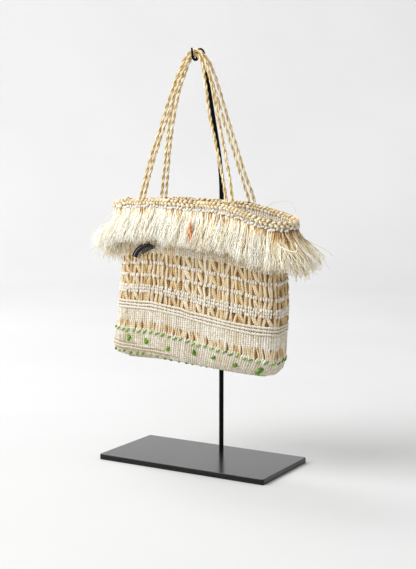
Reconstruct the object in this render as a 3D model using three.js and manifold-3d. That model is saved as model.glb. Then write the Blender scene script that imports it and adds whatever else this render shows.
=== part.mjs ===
// A fringed bag of twined flax fibre with two corded handles, hanging on a plain steel display stand.
// Millimetres, +Z up, the front towards -Y. The origin is the middle of the stand's underside.

import * as THREE from "three";
import { mergeVertices } from "three/addons/utils/BufferGeometryUtils.js";
import Module from "manifold-3d";

// Driving dimensions: the stand
const GAP = 0.3;
const PLATE = { width: 200, depth: 100, thickness: 6, corner: 1.5, bevel: 0.5 };
const ROD = { x: 1.5, y: 39, radius: 2.5, tipRadius: 0.9, socketDepth: 3, sides: 10 };
const LEAN = { angle: THREE.MathUtils.degToRad(18.2), elbowZ: 311.5, bendReach: 27, length: 126.6 };
const HOOK = { archRadius: 5.3, troughRadius: 5.6, tipRise: 6, tipReach: 1 };

// Driving dimensions: the bag. Heights and tilts of the rows are taken at MIDDLE_X, where the bag hangs
// from the hook; beyond the handle roots, from DROOP_START to DROOP_END either side, a row hangs lower.
const MIDDLE_X = 8;
const DROOP_START = 30;
const DROOP_END = 110;
const WALL = 2;
const SLITS = 24;
const COLUMNS = 3 * SLITS;

// The rows of the weave from the floor up. height is at MIDDLE_X on the front and tilt its slope along X;
// dropLeft and dropRight say how far the two ends hang, and backRise how much less the right end hangs at
// the back; left, right, front and back bound the loop; square is the exponent of its rounded outline;
// slit is the width of a gap there, and open pierces the wall from that row up to the next.
const SECTIONS = [
  { name: "floor", height: 108, tilt: -0.08, dropLeft: 4, dropRight: -3, backRise: 2,
    left: -87, right: 88, front: -20, back: -12, square: 2.6, slit: 2.4, open: false },
  { name: "turn", height: 110.5, tilt: -0.085, dropLeft: 4, dropRight: -3, backRise: 2,
    left: -95, right: 95, front: -30, back: -2, square: 3, slit: 2.4, open: false },
  { name: "hem", height: 119, tilt: -0.1, dropLeft: 4, dropRight: -1, backRise: 3,
    left: -98, right: 101, front: -37.5, back: 5.5, square: 3.4, slit: 2.4, open: false },
  { name: "green row", height: 135, tilt: -0.16, dropLeft: 7.5, dropRight: 3.5, backRise: 8,
    left: -95, right: 103, front: -40, back: 8, square: 4, slit: 3, open: true },
  { name: "white band foot", height: 146, tilt: -0.168, dropLeft: 10.5, dropRight: -1, backRise: 8,
    left: -92.5, right: 103.5, front: -40, back: 8, square: 4, slit: 1.2, open: false },
  { name: "triple line", height: 167, tilt: -0.164, dropLeft: 9.6, dropRight: -2.5, backRise: 6,
    left: -89, right: 104.5, front: -40, back: 8, square: 4, slit: 3.4, open: true },
  { name: "row C foot", height: 178, tilt: -0.165, dropLeft: 11, dropRight: -2, backRise: 6,
    left: -87.5, right: 105, front: -40, back: 8, square: 4, slit: 1.2, open: false },
  { name: "row C head", height: 186.3, tilt: -0.15, dropLeft: 10, dropRight: 0.5, backRise: 6.5,
    left: -87, right: 105, front: -40, back: 8, square: 4, slit: 3.4, open: true },
  { name: "row B foot", height: 196, tilt: -0.112, dropLeft: 6.5, dropRight: 6.5, backRise: 8,
    left: -86, right: 105, front: -40, back: 8, square: 4, slit: 1.2, open: false },
  { name: "row B head", height: 200, tilt: -0.107, dropLeft: 6.5, dropRight: 7, backRise: 8,
    left: -85.5, right: 105, front: -40, back: 8, square: 4, slit: 3.4, open: true },
  { name: "row A foot", height: 209.6, tilt: -0.118, dropLeft: 10.3, dropRight: 3.6, backRise: 8,
    left: -84.5, right: 104, front: -40, back: 8, square: 4, slit: 1.2, open: false },
  { name: "row A head", height: 213.4, tilt: -0.114, dropLeft: 11, dropRight: 4, backRise: 8,
    left: -84, right: 104, front: -40, back: 8, square: 4, slit: 3, open: true },
  { name: "tight band foot", height: 222.5, tilt: -0.085, dropLeft: 11.5, dropRight: 9, backRise: 8,
    left: -84, right: 104, front: -40, back: 8, square: 4, slit: 1.2, open: false },
  { name: "shoulder", height: 250, tilt: -0.08, dropLeft: 7, dropRight: 14, backRise: 8,
    left: -87, right: 107, front: -40.5, back: 8.5, square: 3.6, slit: 2.4, open: false },
  { name: "edge", height: 274, tilt: -0.07, dropLeft: 6.5, dropRight: 15.5, backRise: 9,
    left: -92, right: 113, front: -41, back: 9, square: 3.2, slit: 2.4, open: false },
];
const EDGE = SECTIONS.at(-1);
const BRIM = { ...EDGE, name: "brim", height: 281.5, tilt: -0.02, dropLeft: 4.5, dropRight: 21 };
const BRAID = { halfWidth: 4.3, steps: 88, sides: 8, strands: 3, turns: 30, relief: 0.09 };

// Driving dimensions: the fringe, a twined head with loose locks that splay out below it
const LOCKS = 40;
const FRINGE = { clearance: 0.6, headTop: 0.5, headHeight: 8, bulge: 2.5,
  lengthFront: 34, lengthLeft: 55, lengthRight: 45,
  splayFront: THREE.MathUtils.degToRad(19), splayEnds: THREE.MathUtils.degToRad(38), endPower: 1.5 };
// No two neighbouring locks are alike: each differs by a wave that steps a fixed angle from lock to lock.
const LOCK_VARIETY = { length: 0.07, lengthStep: 2.4, splay: 0.06, splayStep: 5.3 };
// Stations of a lock from its tip to the top of the head: reach is the share of the lock's length below
// the head, thick the depth of the lock in mm, fill the share of its pitch that it covers.
const LOCK_STATIONS = [
  { reach: 1, thick: 2, fill: 0.5 },
  { reach: 0.7, thick: 4.5, fill: 0.78 },
  { reach: 0.3, thick: 4.5, fill: 0.9 },
  { reach: 0, thick: 2.6, fill: 0.95 },
];

// Driving dimensions: the feather under the fringe, a blade that lies along a bend given in X and Z
const FEATHER = { tip: [-56.5, 222], bend: [-54, 232.5], quill: [-36, 234.5],
  halfWidth: 3.4, taper: 0.8, thickness: 0.8, rows: 8, columns: 3 };

// The routes of the four handle cords, from the left rim over the hook to the right rim
const CORD = { diameter: 3.4, sides: 8, steps: 32 };
const CORD_ROUTES = {
  handle_front_outer: [
    [-52, -40, 281.9], [-47, -37, 304], [-41, -33.5, 328], [-35.5, -31, 346], [-30, -28, 366],
    [-24, -25.3, 386], [-19, -23, 402], [-13.5, -21, 415.8], [-7.2, -19.6, 427.6], [1.5, -18.6, 434.7],
    [10, -19, 430.2], [17, -20, 419.6], [22.5, -22, 406], [27.5, -24, 391], [31.5, -26, 377],
    [36.5, -28.5, 361], [42, -31, 344], [47, -33.5, 328], [51.5, -36, 312], [55.5, -38, 297],
    [59, -40, 277.6],
  ],
  handle_front_inner: [
    [-47, -40, 282.2], [-42, -36.5, 307], [-36.5, -33.5, 328], [-31, -31, 347], [-26, -28.5, 363],
    [-21, -26, 380], [-16, -23.5, 397], [-11, -21.5, 410], [-5.5, -19.8, 422.5], [1.5, -18.45, 431],
    [7.6, -18.8, 426], [12.1, -19.8, 416.2], [16, -22, 404], [19.5, -24, 390], [22.5, -26, 377],
    [26, -28, 364], [30.5, -30, 350], [35.5, -32, 335], [40.5, -34.5, 320], [46, -37, 304],
    [52, -40, 279.6],
  ],
  handle_back_outer: [
    [-56, 8, 281.7], [-51, 4.5, 304], [-46.5, 1.5, 325], [-42, -1, 346], [-37, -4, 365],
    [-31, -7, 384], [-25, -9.5, 400], [-18, -11.5, 413.8], [-9.7, -13.7, 426.2], [1.5, -14.75, 434.2],
    [11, -14.1, 429.2], [18, -12.5, 418.5], [23, -11, 405], [27.5, -9, 389], [32, -6, 371],
    [37, -3, 352], [43, 0, 331], [49, 3.5, 309], [54, 6, 294], [58.5, 8, 279.2],
  ],
  handle_back_inner: [
    [-50.5, 8, 282], [-46, 4.5, 304], [-41.5, 1, 327], [-37, -2, 347], [-32, -5, 365],
    [-26.5, -7.5, 382], [-20.5, -10, 398], [-13.5, -12, 411.3], [-6.1, -14, 422.9], [1.5, -14.7, 430.4],
    [8.1, -14.3, 425.6], [13.1, -12.8, 415.7], [17.5, -11, 404], [21.5, -9, 391], [25.5, -6, 374],
    [30, -3, 356], [35, 0, 338], [40.5, 3, 319], [46, 5.5, 300], [52, 8, 280.2],
  ],
};

const BLACK_STEEL = new THREE.MeshStandardMaterial({ color: 0x1c1c1d, roughness: 0.42, metalness: 0.1 });
const FLAX = new THREE.MeshStandardMaterial({ color: 0xdcc698, roughness: 0.9, metalness: 0 });
const FLAX_CORD = new THREE.MeshStandardMaterial({ color: 0xc9a765, roughness: 0.85, metalness: 0 });
const FLAX_FRINGE = new THREE.MeshStandardMaterial({ color: 0xf0e6c8, roughness: 0.9, metalness: 0 });
const QUILL = new THREE.MeshStandardMaterial({ color: 0x16162c, roughness: 0.7, metalness: 0 });

// A loop round the bag at one row: a rounded oblong in plan whose height tilts and droops along X.
// It starts at the left end and runs along the front first.
class RowLoop extends THREE.Curve {
  constructor(section) {
    super();
    this.section = section;
    this.arcLengthDivisions = 2000;
  }

  getPoint(t, target = new THREE.Vector3()) {
    const { left, right, front, back, square } = this.section;
    const angle = 2 * Math.PI * t;
    const along = Math.sign(Math.cos(angle)) * Math.abs(Math.cos(angle)) ** (2 / square);
    const across = Math.sign(Math.sin(angle)) * Math.abs(Math.sin(angle)) ** (2 / square);
    const x = (left + right) / 2 - (along * (right - left)) / 2;
    const y = (front + back) / 2 - (across * (back - front)) / 2;
    return target.set(x, y, rowHeight(this.section, x, y));
  }
}

function rowHeight(section, x, y) {
  const { height, tilt, dropLeft, dropRight, backRise, front, back } = section;
  const fromMiddle = x - MIDDLE_X;
  const towardsBack = (y - front) / (back - front);
  const drop = fromMiddle < 0 ? dropLeft : dropRight - backRise * towardsBack;
  const droop = THREE.MathUtils.smoothstep(Math.abs(fromMiddle), DROOP_START, DROOP_END);
  return height + tilt * fromMiddle - drop * droop;
}

// The level outward direction at a share of the way round a loop
function outward(loop, share) {
  const step = 0.004; // a share of the loop, about 2 mm
  const before = loop.getPointAt((share - step + 1) % 1);
  const after = loop.getPointAt((share + step + 1) % 1);
  return new THREE.Vector3(after.y - before.y, before.x - after.x, 0).normalize();
}

// Collects the faces of one closed body and turns them into a geometry with shared corners
class Skin {
  constructor() {
    this.corners = [];
  }

  triangle(a, b, c) {
    if (a === b || b === c || c === a) return;
    this.corners.push(a, b, c);
  }

  quad(a, b, c, d) {
    this.triangle(a, b, c);
    this.triangle(a, c, d);
  }

  geometry() {
    const geometry = mergeVertices(new THREE.BufferGeometry().setFromPoints(this.corners), 1e-4);
    geometry.computeVertexNormals();
    return geometry;
  }
}

// The skin of a wall between an outer and an inner grid of points, closed wherever a cell meets a gap or
// the grid's edge. Rows run upwards and columns to the right seen from outside; wraps joins the last
// column to the first, and withFloor leaves the lowest edge open for a floor.
function wallSkin(outer, inner, { isKept = () => true, wraps = true, withFloor = false }) {
  const skin = new Skin();
  const rows = outer.length - 1;
  const columns = outer[0].length - (wraps ? 0 : 1);
  const kept = (row, column) => {
    if (row < 0) return withFloor;
    if (row >= rows) return false;
    if (!wraps && (column < 0 || column >= columns)) return false;
    return isKept(row, (column + columns) % columns);
  };
  for (let row = 0; row < rows; row += 1) {
    for (let column = 0; column < columns; column += 1) {
      if (!kept(row, column)) continue;
      const next = wraps ? (column + 1) % columns : column + 1;
      const loop = [[row, column], [row, next], [row + 1, next], [row + 1, column]];
      const neighbours = [[row - 1, column], [row, column + 1], [row + 1, column], [row, column - 1]];
      const out = loop.map(([r, c]) => outer[r][c]);
      const into = loop.map(([r, c]) => inner[r][c]);
      skin.quad(out[0], out[1], out[2], out[3]);
      skin.quad(into[3], into[2], into[1], into[0]);
      neighbours.forEach(([r, c], side) => {
        const end = (side + 1) % 4;
        if (!kept(r, c)) skin.quad(out[end], out[side], into[side], into[end]);
      });
    }
  }
  return skin;
}

// Closes the lowest loops of a wall with an outer and an inner floor, strip by strip from end to end
function addFloor(skin, outerLoop, innerLoop) {
  const count = outerLoop.length;
  for (let i = 0; i < count / 2; i += 1) {
    const strip = [i + 1, i, (count - i) % count, count - i - 1];
    const [a, b, c, d] = strip.map((k) => outerLoop[k]);
    const [e, f, g, h] = strip.map((k) => innerLoop[k]);
    skin.quad(a, b, c, d);
    skin.quad(h, g, f, e);
  }
}

// A round bar through rings of given centres and radii in the plane of one X
function barGeometry(centres, radii, x, sides) {
  const skin = new Skin();
  const rings = centres.map((centre, i) => {
    const ahead = centres[Math.min(i + 1, centres.length - 1)];
    const behind = centres[Math.max(i - 1, 0)];
    const along = new THREE.Vector2().subVectors(ahead, behind).normalize();
    return Array.from({ length: sides }, (_, k) => {
      const angle = (2 * Math.PI * k) / sides;
      const aside = radii[i] * Math.sin(angle);
      return new THREE.Vector3(
        x + radii[i] * Math.cos(angle),
        centre.x + aside * along.y,
        centre.y - aside * along.x,
      );
    });
  });
  const cap = (ring, centre, faceUp) => {
    const hub = new THREE.Vector3(x, centre.x, centre.y);
    ring.forEach((point, k) => {
      const next = ring[(k + 1) % sides];
      if (faceUp) skin.triangle(hub, point, next);
      else skin.triangle(hub, next, point);
    });
  };
  cap(rings[0], centres[0], false);
  for (let i = 0; i + 1 < rings.length; i += 1) {
    for (let k = 0; k < sides; k += 1) {
      const next = (k + 1) % sides;
      skin.quad(rings[i][k], rings[i][next], rings[i + 1][next], rings[i + 1][k]);
    }
  }
  cap(rings.at(-1), centres.at(-1), true);
  return skin.geometry();
}

const wasm = await Module();
wasm.setup();

function toSolid(geometry) {
  const bare = geometry.clone();
  bare.deleteAttribute("normal");
  bare.deleteAttribute("uv");
  const merged = mergeVertices(bare, 1e-4);
  return new wasm.Manifold(new wasm.Mesh({
    numProp: 3,
    vertProperties: new Float32Array(merged.attributes.position.array),
    triVerts: new Uint32Array(merged.index.array),
  }));
}

function fromSolid(solid) {
  const { vertProperties, triVerts } = solid.getMesh();
  const geometry = new THREE.BufferGeometry();
  geometry.setAttribute("position", new THREE.BufferAttribute(vertProperties, 3));
  geometry.setIndex(new THREE.BufferAttribute(triVerts, 1));
  geometry.computeVertexNormals();
  return geometry;
}

// The base plate: a bevelled steel slab with a socket drilled for the rod
function basePlateGeometry() {
  const { width, depth, thickness, corner, bevel } = PLATE;
  const x = width / 2 - bevel;
  const y = depth / 2 - bevel;
  const outline = new THREE.Shape();
  outline.absarc(x - corner, y - corner, corner, 0, Math.PI / 2);
  outline.absarc(corner - x, y - corner, corner, Math.PI / 2, Math.PI);
  outline.absarc(corner - x, corner - y, corner, Math.PI, 1.5 * Math.PI);
  outline.absarc(x - corner, corner - y, corner, 1.5 * Math.PI, 2 * Math.PI);
  const slab = new THREE.ExtrudeGeometry(outline, {
    depth: thickness - 2 * bevel,
    bevelThickness: bevel,
    bevelSize: bevel,
    bevelSegments: 1,
    curveSegments: 2,
  });
  slab.translate(0, 0, bevel);
  const drill = new THREE.CylinderGeometry(ROD.radius + GAP, ROD.radius + GAP, 2 * ROD.socketDepth, 16);
  drill.rotateX(Math.PI / 2);
  drill.translate(ROD.x, ROD.y, thickness);
  return fromSolid(toSolid(slab).subtract(toSolid(drill)));
}

// The post: one rod that stands in the plate, leans over the bag and ends in a tapered hook
function postGeometry() {
  const { angle, elbowZ, bendReach, length } = LEAN;
  const { archRadius, troughRadius, tipRise, tipReach } = HOOK;
  const foot = PLATE.thickness - ROD.socketDepth + GAP;
  const onLean = (reach) => [ROD.y - Math.sin(angle) * reach, elbowZ + Math.cos(angle) * reach];
  const [leanY, leanZ] = onLean(length);
  const archY = leanY - archRadius * Math.cos(angle);
  const archZ = leanZ - archRadius * Math.sin(angle);
  const troughY = archY - archRadius - troughRadius;
  const tipY = troughY - troughRadius - tipReach;
  const line = new THREE.Path();
  line.moveTo(ROD.y, foot);
  line.lineTo(ROD.y, elbowZ - bendReach);
  line.quadraticCurveTo(ROD.y, elbowZ, ...onLean(bendReach));
  line.lineTo(leanY, leanZ);
  line.absarc(archY, archZ, archRadius, angle, Math.PI, false);
  line.absarc(troughY, archZ, troughRadius, 0, -Math.PI, true);
  line.lineTo(tipY, archZ + tipRise);
  const centres = line.getPoints(5);
  const travelled = centres.map(() => 0);
  for (let i = 1; i < centres.length; i += 1) {
    travelled[i] = travelled[i - 1] + centres[i].distanceTo(centres[i - 1]);
  }
  const hookLength = Math.PI * (archRadius + troughRadius) + tipRise;
  const radii = travelled.map((distance) => {
    const intoHook = 1 - (travelled.at(-1) - distance) / hookLength;
    return THREE.MathUtils.lerp(ROD.radius, ROD.tipRadius, THREE.MathUtils.clamp(intoHook, 0, 1));
  });
  return barGeometry(centres, radii, ROD.x, ROD.sides);
}

// The bag: a hollow wall lofted through the rows, with the openwork rows slit right through
function bagBodyGeometry() {
  const outer = SECTIONS.map((section) => {
    const loop = new RowLoop(section);
    const halfSlit = section.slit / 2 / loop.getLength();
    return Array.from({ length: COLUMNS }, (_, column) => {
      const bundle = Math.floor(column / 3);
      const place = [bundle / SLITS, (bundle + 0.5) / SLITS - halfSlit, (bundle + 0.5) / SLITS + halfSlit];
      return loop.getPointAt(place[column % 3]);
    });
  });
  const inner = outer.map((points, row) => points.map((point, column) => {
    const left = points[(column - 1 + COLUMNS) % COLUMNS];
    const right = points[(column + 1) % COLUMNS];
    const above = outer[Math.min(row + 1, outer.length - 1)][column];
    const below = outer[Math.max(row - 1, 0)][column];
    const along = new THREE.Vector3().subVectors(right, left);
    const up = new THREE.Vector3().subVectors(above, below);
    if (row === outer.length - 1) up.set(0, 0, 1);
    const inwards = up.cross(along).normalize();
    if (row === 0) inwards.add(new THREE.Vector3(0, 0, 1)).normalize();
    return point.clone().addScaledVector(inwards, WALL);
  }));
  const isKept = (row, column) => !(SECTIONS[row].open && column % 3 === 1);
  const skin = wallSkin(outer, inner, { isKept, withFloor: true });
  addFloor(skin, outer[0], inner[0]);
  return skin.geometry();
}

// The plaited rim: a ring on the bag's edge whose height follows the brim, with slanting strands raised
function rimBraidGeometry() {
  const { halfWidth, steps, sides, strands, turns, relief } = BRAID;
  const skin = new Skin();
  const loop = new RowLoop(EDGE);
  const rings = Array.from({ length: steps }, (_, i) => {
    const share = i / steps;
    const out = outward(loop, share);
    const centre = loop.getPointAt(share).addScaledVector(out, -WALL / 2);
    const top = rowHeight(BRIM, centre.x, centre.y);
    const foot = rowHeight(EDGE, centre.x, centre.y) + GAP;
    return Array.from({ length: sides }, (_, k) => {
      const angle = (2 * Math.PI * k) / sides;
      const swell = 1 - relief * (1 - Math.cos(strands * angle + 2 * Math.PI * turns * share));
      return new THREE.Vector3(
        centre.x + out.x * halfWidth * swell * Math.cos(angle),
        centre.y + out.y * halfWidth * swell * Math.cos(angle),
        (top + foot) / 2 + ((top - foot) / 2) * swell * Math.sin(angle),
      );
    });
  });
  rings.forEach((ring, i) => {
    const following = rings[(i + 1) % steps];
    ring.forEach((point, k) => {
      const next = (k + 1) % sides;
      skin.quad(point, following[k], following[next], ring[next]);
    });
  });
  return skin.geometry();
}

// The fringe: a twined head round the wall below the rim, with tapered locks that splay out and down
function fringeGeometry() {
  const loop = new RowLoop(EDGE);
  const { clearance, headTop, headHeight, bulge, splayFront, splayEnds, endPower } = FRINGE;
  const { lengthFront, lengthLeft, lengthRight } = FRINGE;
  const place = (share, out, drop) => {
    const wrapped = (share + 1) % 1;
    const normal = outward(loop, wrapped);
    const point = loop.getPointAt(wrapped).addScaledVector(normal, out);
    point.z -= drop;
    return point;
  };
  const head = LOCK_STATIONS.at(-1);
  const rows = [...LOCK_STATIONS, { ...head, isHeadTop: true }];
  const grids = [1, 0].map((isOuter) => rows.map(({ reach, thick, fill, isHeadTop }) => {
    return Array.from({ length: 3 * LOCKS }, (_, column) => {
      const lock = Math.floor(column / 3);
      const share = (lock + 0.5 + (fill / 2) * ((column % 3) - 1)) / LOCKS;
      const facing = outward(loop, (lock + 0.5) / LOCKS).x;
      const endwise = Math.abs(facing) ** endPower;
      const turned = LOCK_VARIETY.splay * Math.sin(LOCK_VARIETY.splayStep * lock);
      const splay = THREE.MathUtils.lerp(splayFront, splayEnds, endwise) + turned;
      const length = THREE.MathUtils.lerp(lengthFront, facing < 0 ? lengthLeft : lengthRight, endwise);
      const longer = 1 + LOCK_VARIETY.length * Math.sin(LOCK_VARIETY.lengthStep * lock);
      const run = length * longer * reach;
      const out = clearance + run * Math.sin(splay) + bulge * Math.sin(Math.PI * reach);
      const drop = isHeadTop ? headTop : headTop + headHeight + run * Math.cos(splay);
      return place(share, out + isOuter * thick, drop);
    });
  }));
  const isHead = (row) => row === rows.length - 2;
  const isKept = (row, column) => isHead(row) || column % 3 !== 2;
  return wallSkin(grids[0], grids[1], { isKept }).geometry();
}

// The feather: a thin blade that lies on the weave below the fringe and curls down to its left tip
function featherGeometry() {
  const { tip, bend, quill, halfWidth, taper, thickness, rows, columns } = FEATHER;
  const { left, right, front, back, square } = SECTIONS.find((section) => section.name === "tight band foot");
  const frontAt = (x) => {
    const share = Math.abs(x - (left + right) / 2) / ((right - left) / 2);
    return (front + back) / 2 - ((back - front) / 2) * (1 - share ** square) ** (1 / square);
  };
  const spine = new THREE.QuadraticBezierCurve(...[tip, bend, quill].map((at) => new THREE.Vector2(...at)));
  const grids = [GAP + thickness, GAP].map((lift) => Array.from({ length: columns + 1 }, (_, column) => {
    return Array.from({ length: rows + 1 }, (_, row) => {
      const along = spine.getTangent(row / rows);
      const half = halfWidth * (1 - taper * (row / rows) ** 3) * ((2 * column) / columns - 1);
      const at = spine.getPoint(row / rows).add(new THREE.Vector2(-along.y, along.x).multiplyScalar(half));
      return new THREE.Vector3(at.x, frontAt(at.x) - lift, at.y);
    });
  }));
  return wallSkin(grids[0], grids[1], { wraps: false }).geometry();
}

// A handle cord: a plain round tube along its route
function cordGeometry(route) {
  const section = new THREE.Shape(Array.from({ length: CORD.sides }, (_, k) => {
    const angle = (2 * Math.PI * k) / CORD.sides;
    return new THREE.Vector2(Math.cos(angle), Math.sin(angle)).multiplyScalar(CORD.diameter / 2);
  }));
  const extrudePath = new THREE.CatmullRomCurve3(route.map((point) => new THREE.Vector3(...point)));
  return new THREE.ExtrudeGeometry(section, { steps: CORD.steps, extrudePath });
}

function piece(name, geometry, material) {
  const mesh = new THREE.Mesh(geometry, material);
  mesh.name = name;
  return mesh;
}

const stand = new THREE.Group();
stand.add(piece("base_plate", basePlateGeometry(), BLACK_STEEL));
stand.add(piece("post", postGeometry(), BLACK_STEEL));

const bag = new THREE.Group();
bag.add(piece("bag_body", bagBodyGeometry(), FLAX));
bag.add(piece("rim_braid", rimBraidGeometry(), FLAX_CORD));
bag.add(piece("fringe", fringeGeometry(), FLAX_FRINGE));
bag.add(piece("feather", featherGeometry(), QUILL));
for (const [name, route] of Object.entries(CORD_ROUTES)) {
  bag.add(piece(name, cordGeometry(route), FLAX_CORD));
}

const bagOnStand = new THREE.Group();
bagOnStand.add(stand, bag);

export default bagOnStand;
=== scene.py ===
# A fringed bag of twined flax with corded handles, hanging on a plain black display stand.
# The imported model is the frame, and each section below dresses one piece of it, strand by strand.

import math

import bmesh
import bpy
import numpy as np
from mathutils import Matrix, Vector


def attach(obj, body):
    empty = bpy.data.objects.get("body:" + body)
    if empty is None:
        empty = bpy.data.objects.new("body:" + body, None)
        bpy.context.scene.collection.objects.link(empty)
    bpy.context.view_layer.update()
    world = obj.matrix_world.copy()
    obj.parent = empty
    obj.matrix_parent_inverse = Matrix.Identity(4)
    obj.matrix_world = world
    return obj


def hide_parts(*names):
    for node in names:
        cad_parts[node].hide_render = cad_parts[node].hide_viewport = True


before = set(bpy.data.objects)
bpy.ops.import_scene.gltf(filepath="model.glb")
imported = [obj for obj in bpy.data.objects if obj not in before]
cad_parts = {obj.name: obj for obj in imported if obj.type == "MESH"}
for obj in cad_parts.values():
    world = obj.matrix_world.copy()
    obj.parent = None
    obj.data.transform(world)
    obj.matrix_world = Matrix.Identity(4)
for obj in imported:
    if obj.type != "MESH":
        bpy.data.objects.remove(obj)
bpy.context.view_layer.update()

# The view: a long lens, level with the bag's upper half and turned to its front right corner.
# Its place is solved from the corners of the stand's plate. Lengths in this file are millimetres
# unless they say otherwise, and MM turns them into the frame's metres.
MM = 0.001
CAMERA_PLACE = (586.4, -992.0, 310.8)
CAMERA_TURN = math.radians(30.28)
CAMERA_DIP = math.radians(5.92)
LENS = 69.1
SENSOR = 36.0

camera = bpy.data.objects.new("camera", bpy.data.cameras.new("camera"))
camera.location = [MM * place for place in CAMERA_PLACE]
camera.rotation_euler = (math.pi / 2 - CAMERA_DIP, 0, CAMERA_TURN)
camera.data.lens = LENS
camera.data.sensor_width = SENSOR
bpy.context.scene.collection.objects.link(camera)
bpy.context.scene.camera = camera

# The studio: a pale paper cove all round, a broad soft light in front on the left, one over the paper
# behind, and an even white sky. The paper is matt and unprinted, so it has only a faint mottle.
COVE_FLOOR = 1700.0
COVE_BEND = 900.0
COVE_HEIGHT = 1700.0
COVE_SIDES = 96
COVE_BEND_STEP = 9
PAPER_MOTTLE = 400.0
# Lights: name, place, what it is aimed at, size, watts
LIGHTS = (
    ("key", (-1170, -1390, 1700), (0, 0, 200), 1800.0, 61.5),
    ("paper_light", (-1300, 600, 2200), (-1100, 2000, 500), 1200.0, 25.0),
)
SKY_STRENGTH = 0.76


def linear(hex_colour):
    """An sRGB hex colour as linear red, green, blue and a full alpha."""
    parts = [int(hex_colour[i:i + 2], 16) / 255 for i in (1, 3, 5)]
    return (*[p / 12.92 if p <= 0.04045 else ((p + 0.055) / 1.055) ** 2.4 for p in parts], 1.0)


def add_node(tree, kind, inputs=(), stops=(), **settings):
    """Adds a node with its settings, fills each input with a value or links another node's output to it,
    and gives a ramp its stops of place and hex colour."""
    node = tree.nodes.new(kind)
    for name, value in settings.items():
        setattr(node, name, value)
    for name, value in dict(inputs).items():
        if isinstance(value, bpy.types.NodeSocket):
            tree.links.new(value, node.inputs[name])
        else:
            node.inputs[name].default_value = value
    for number, (place, colour) in enumerate(stops):
        if number == len(node.color_ramp.elements):
            node.color_ramp.elements.new(1.0)
        node.color_ramp.elements[number].position = place
        node.color_ramp.elements[number].color = linear(colour)
    return node


def empty_material(name):
    """A material with no nodes yet, and its tree."""
    material = bpy.data.materials.new(name)
    material.use_nodes = True
    material.node_tree.nodes.clear()
    return material, material.node_tree


def matt_paper():
    """Background paper: uncoated, matt, with a mottle too faint to read as a pattern."""
    material, tree = empty_material("matt_paper")
    place = add_node(tree, "ShaderNodeTexCoord").outputs["Object"]
    mottle = add_node(tree, "ShaderNodeTexNoise", {"Vector": place, "Scale": 1 / (PAPER_MOTTLE * MM)})
    colour = add_node(tree, "ShaderNodeValToRGB", {"Fac": mottle.outputs["Fac"]},
                      ((0.3, "#cacaca"), (0.7, "#cecece")))
    surface = add_node(tree, "ShaderNodeBsdfPrincipled",
                       {"Base Color": colour.outputs["Color"], "Roughness": 0.9, "Specular IOR Level": 0.2})
    add_node(tree, "ShaderNodeOutputMaterial", {"Surface": surface.outputs["BSDF"]})
    return material


cove = bmesh.new()
bend = [math.radians(angle) for angle in range(0, 91, COVE_BEND_STEP)]
profile = [(0.0, 0.0)]
profile += [(COVE_FLOOR + COVE_BEND * math.sin(a), COVE_BEND * (1 - math.cos(a))) for a in bend]
profile += [(COVE_FLOOR + COVE_BEND, COVE_HEIGHT)]
line = [cove.verts.new((MM * out, 0, MM * up)) for out, up in profile]
edges = [cove.edges.new(pair) for pair in zip(line, line[1:])]
bmesh.ops.spin(cove, geom=line + edges, axis=(0, 0, 1), cent=(0, 0, 0), steps=COVE_SIDES,
               angle=2 * math.pi, use_merge=True)
bmesh.ops.remove_doubles(cove, verts=cove.verts, dist=0.01 * MM)
bmesh.ops.recalc_face_normals(cove, faces=cove.faces)
bmesh.ops.reverse_faces(cove, faces=cove.faces)
for face in cove.faces:
    face.smooth = True
paper_cove = bpy.data.objects.new("paper_cove", bpy.data.meshes.new("paper_cove"))
cove.to_mesh(paper_cove.data)
cove.free()
paper_cove.data.materials.append(matt_paper())
bpy.context.scene.collection.objects.link(paper_cove)

for light_name, light_place, light_aim, light_size, watts in LIGHTS:
    lamp = bpy.data.objects.new(light_name, bpy.data.lights.new(light_name, "AREA"))
    lamp.data.shape = "DISK"
    lamp.data.size = MM * light_size
    lamp.data.energy = watts
    lamp.location = MM * Vector(light_place)
    aim = Vector(light_aim) - Vector(light_place)
    lamp.rotation_euler = aim.to_track_quat("-Z", "Y").to_euler()
    bpy.context.scene.collection.objects.link(lamp)

sky = bpy.data.worlds.new("sky")
sky.use_nodes = True
sky.node_tree.nodes["Background"].inputs["Color"].default_value = linear("#ffffff")
sky.node_tree.nodes["Background"].inputs["Strength"].default_value = SKY_STRENGTH
bpy.context.scene.world = sky
bpy.context.scene.view_settings.view_transform = "Standard"

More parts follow.
